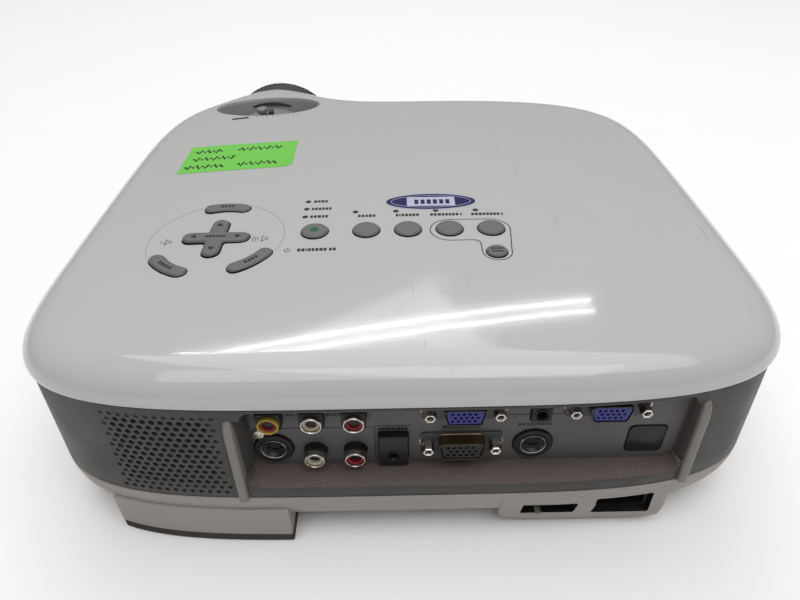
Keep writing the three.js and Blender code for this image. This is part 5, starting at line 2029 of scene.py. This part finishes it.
@dataclass
class Studio:
    """Pale floor, soft lights and the camera."""

    eye: tuple[float, float, float] = (0.00002, 0.29237, 0.23202)
    right: tuple[float, float, float] = (-0.999806, 0.011069, -0.016276)
    up: tuple[float, float, float] = (-0.019650, -0.609412, 0.792610)
    focal: float = 27.861
    shift: Point = (0.00043, -0.00198)

    def build(self) -> None:
        """Sets the floor, the lights, the sky and the camera."""
        self.floor()
        self.lights()
        self.camera()

    def floor(self) -> None:
        """Lays a wide pale floor."""
        Bench.clear()
        bpy.ops.mesh.primitive_plane_add(size=16)
        floor = bpy.context.object
        floor.name = "floor"
        paint = Finish("pale_floor", (0.95, 0.95, 0.95), 0.8, drift=0.01, relief=0.0)
        floor.data.materials.append(paint.material())

    def lights(self) -> None:
        """Hangs two soft boxes overhead, and two thin tubes that streak the top."""
        self.area("key_box", (-0.2, -0.3, 2.4), (0, -0.2, 0.0), (4.4, 2.2), 53)
        self.area("front_box", (0.1, 1.0, 2.2), (0, 0.3, 0.0), (2.4, 1.4), 17)
        for index, shift in enumerate((0.0, -0.10)):
            first, last = Vector((1.26, -1.97 - shift, 2.2)), Vector((-1.18, -2.45 - shift, 2.2))
            middle = (first + last) / 2
            tube = self.area(
                f"tube_{index + 1}", middle, (0.0, 0.12, 0.09), ((last - first).length, 0.014), 3.4
            )
            aim = (Vector((0, 0.12, 0.09)) - middle).normalized()
            along = (last - first).normalized()
            side = aim.cross(along).normalized()
            turn = Matrix((along, -side, -aim)).transposed()
            tube.rotation_euler = turn.to_euler()
        world = bpy.data.worlds.new("room")
        world.use_nodes = True
        sky = world.node_tree.nodes["Background"]
        sky.inputs["Color"].default_value = (1.0, 0.99, 0.975, 1)
        sky.inputs["Strength"].default_value = 0.25
        bpy.context.scene.world = world

    @staticmethod
    def area(
        name: str, place: Sequence[float], target: Sequence[float], size: Point, watts: float
    ) -> Thing:
        """Hangs one area light, aimed at a point."""
        data = bpy.data.lights.new(name, "AREA")
        data.shape = "RECTANGLE"
        data.size, data.size_y = size
        data.energy = watts
        lamp = bpy.data.objects.new(name, data)
        bpy.context.collection.objects.link(lamp)
        lamp.location = place
        lamp.rotation_euler = (Vector(target) - Vector(place)).to_track_quat("-Z", "Y").to_euler()
        return lamp

    def camera(self) -> None:
        """Sets the camera behind the object and a little above it, looking down at its sockets."""
        data = bpy.data.cameras.new("camera")
        data.lens, data.sensor_width = self.focal, 36
        data.shift_x, data.shift_y = self.shift
        data.clip_start = 0.01
        eye = bpy.data.objects.new("camera", data)
        bpy.context.collection.objects.link(eye)
        right, up = Vector(self.right), Vector(self.up)
        turn = Matrix((right, up, right.cross(up))).transposed().to_4x4()
        eye.matrix_world = Matrix.Translation(self.eye) @ turn
        bpy.context.scene.camera = eye
        bpy.context.scene.view_settings.view_transform = "Standard"


def main() -> None:
    """Builds the studio and then the projector, piece by piece."""
    logging.basicConfig(level=logging.INFO, format="%(message)s")
    Studio().build()
    pad = KeyPad()
    for group in (
        MiddleBand(), BaseCover(), FootBlocks(), Mains(), LensEnd(), Sockets(), FrontFace(),
        Underside(), Inside()
    ):
        LOG.info("building %s", type(group).__name__)
        group.build()
    TopCover().build(pad)
    pad.build()
    Printing(pad).build()


if __name__ == "__main__":
    main()
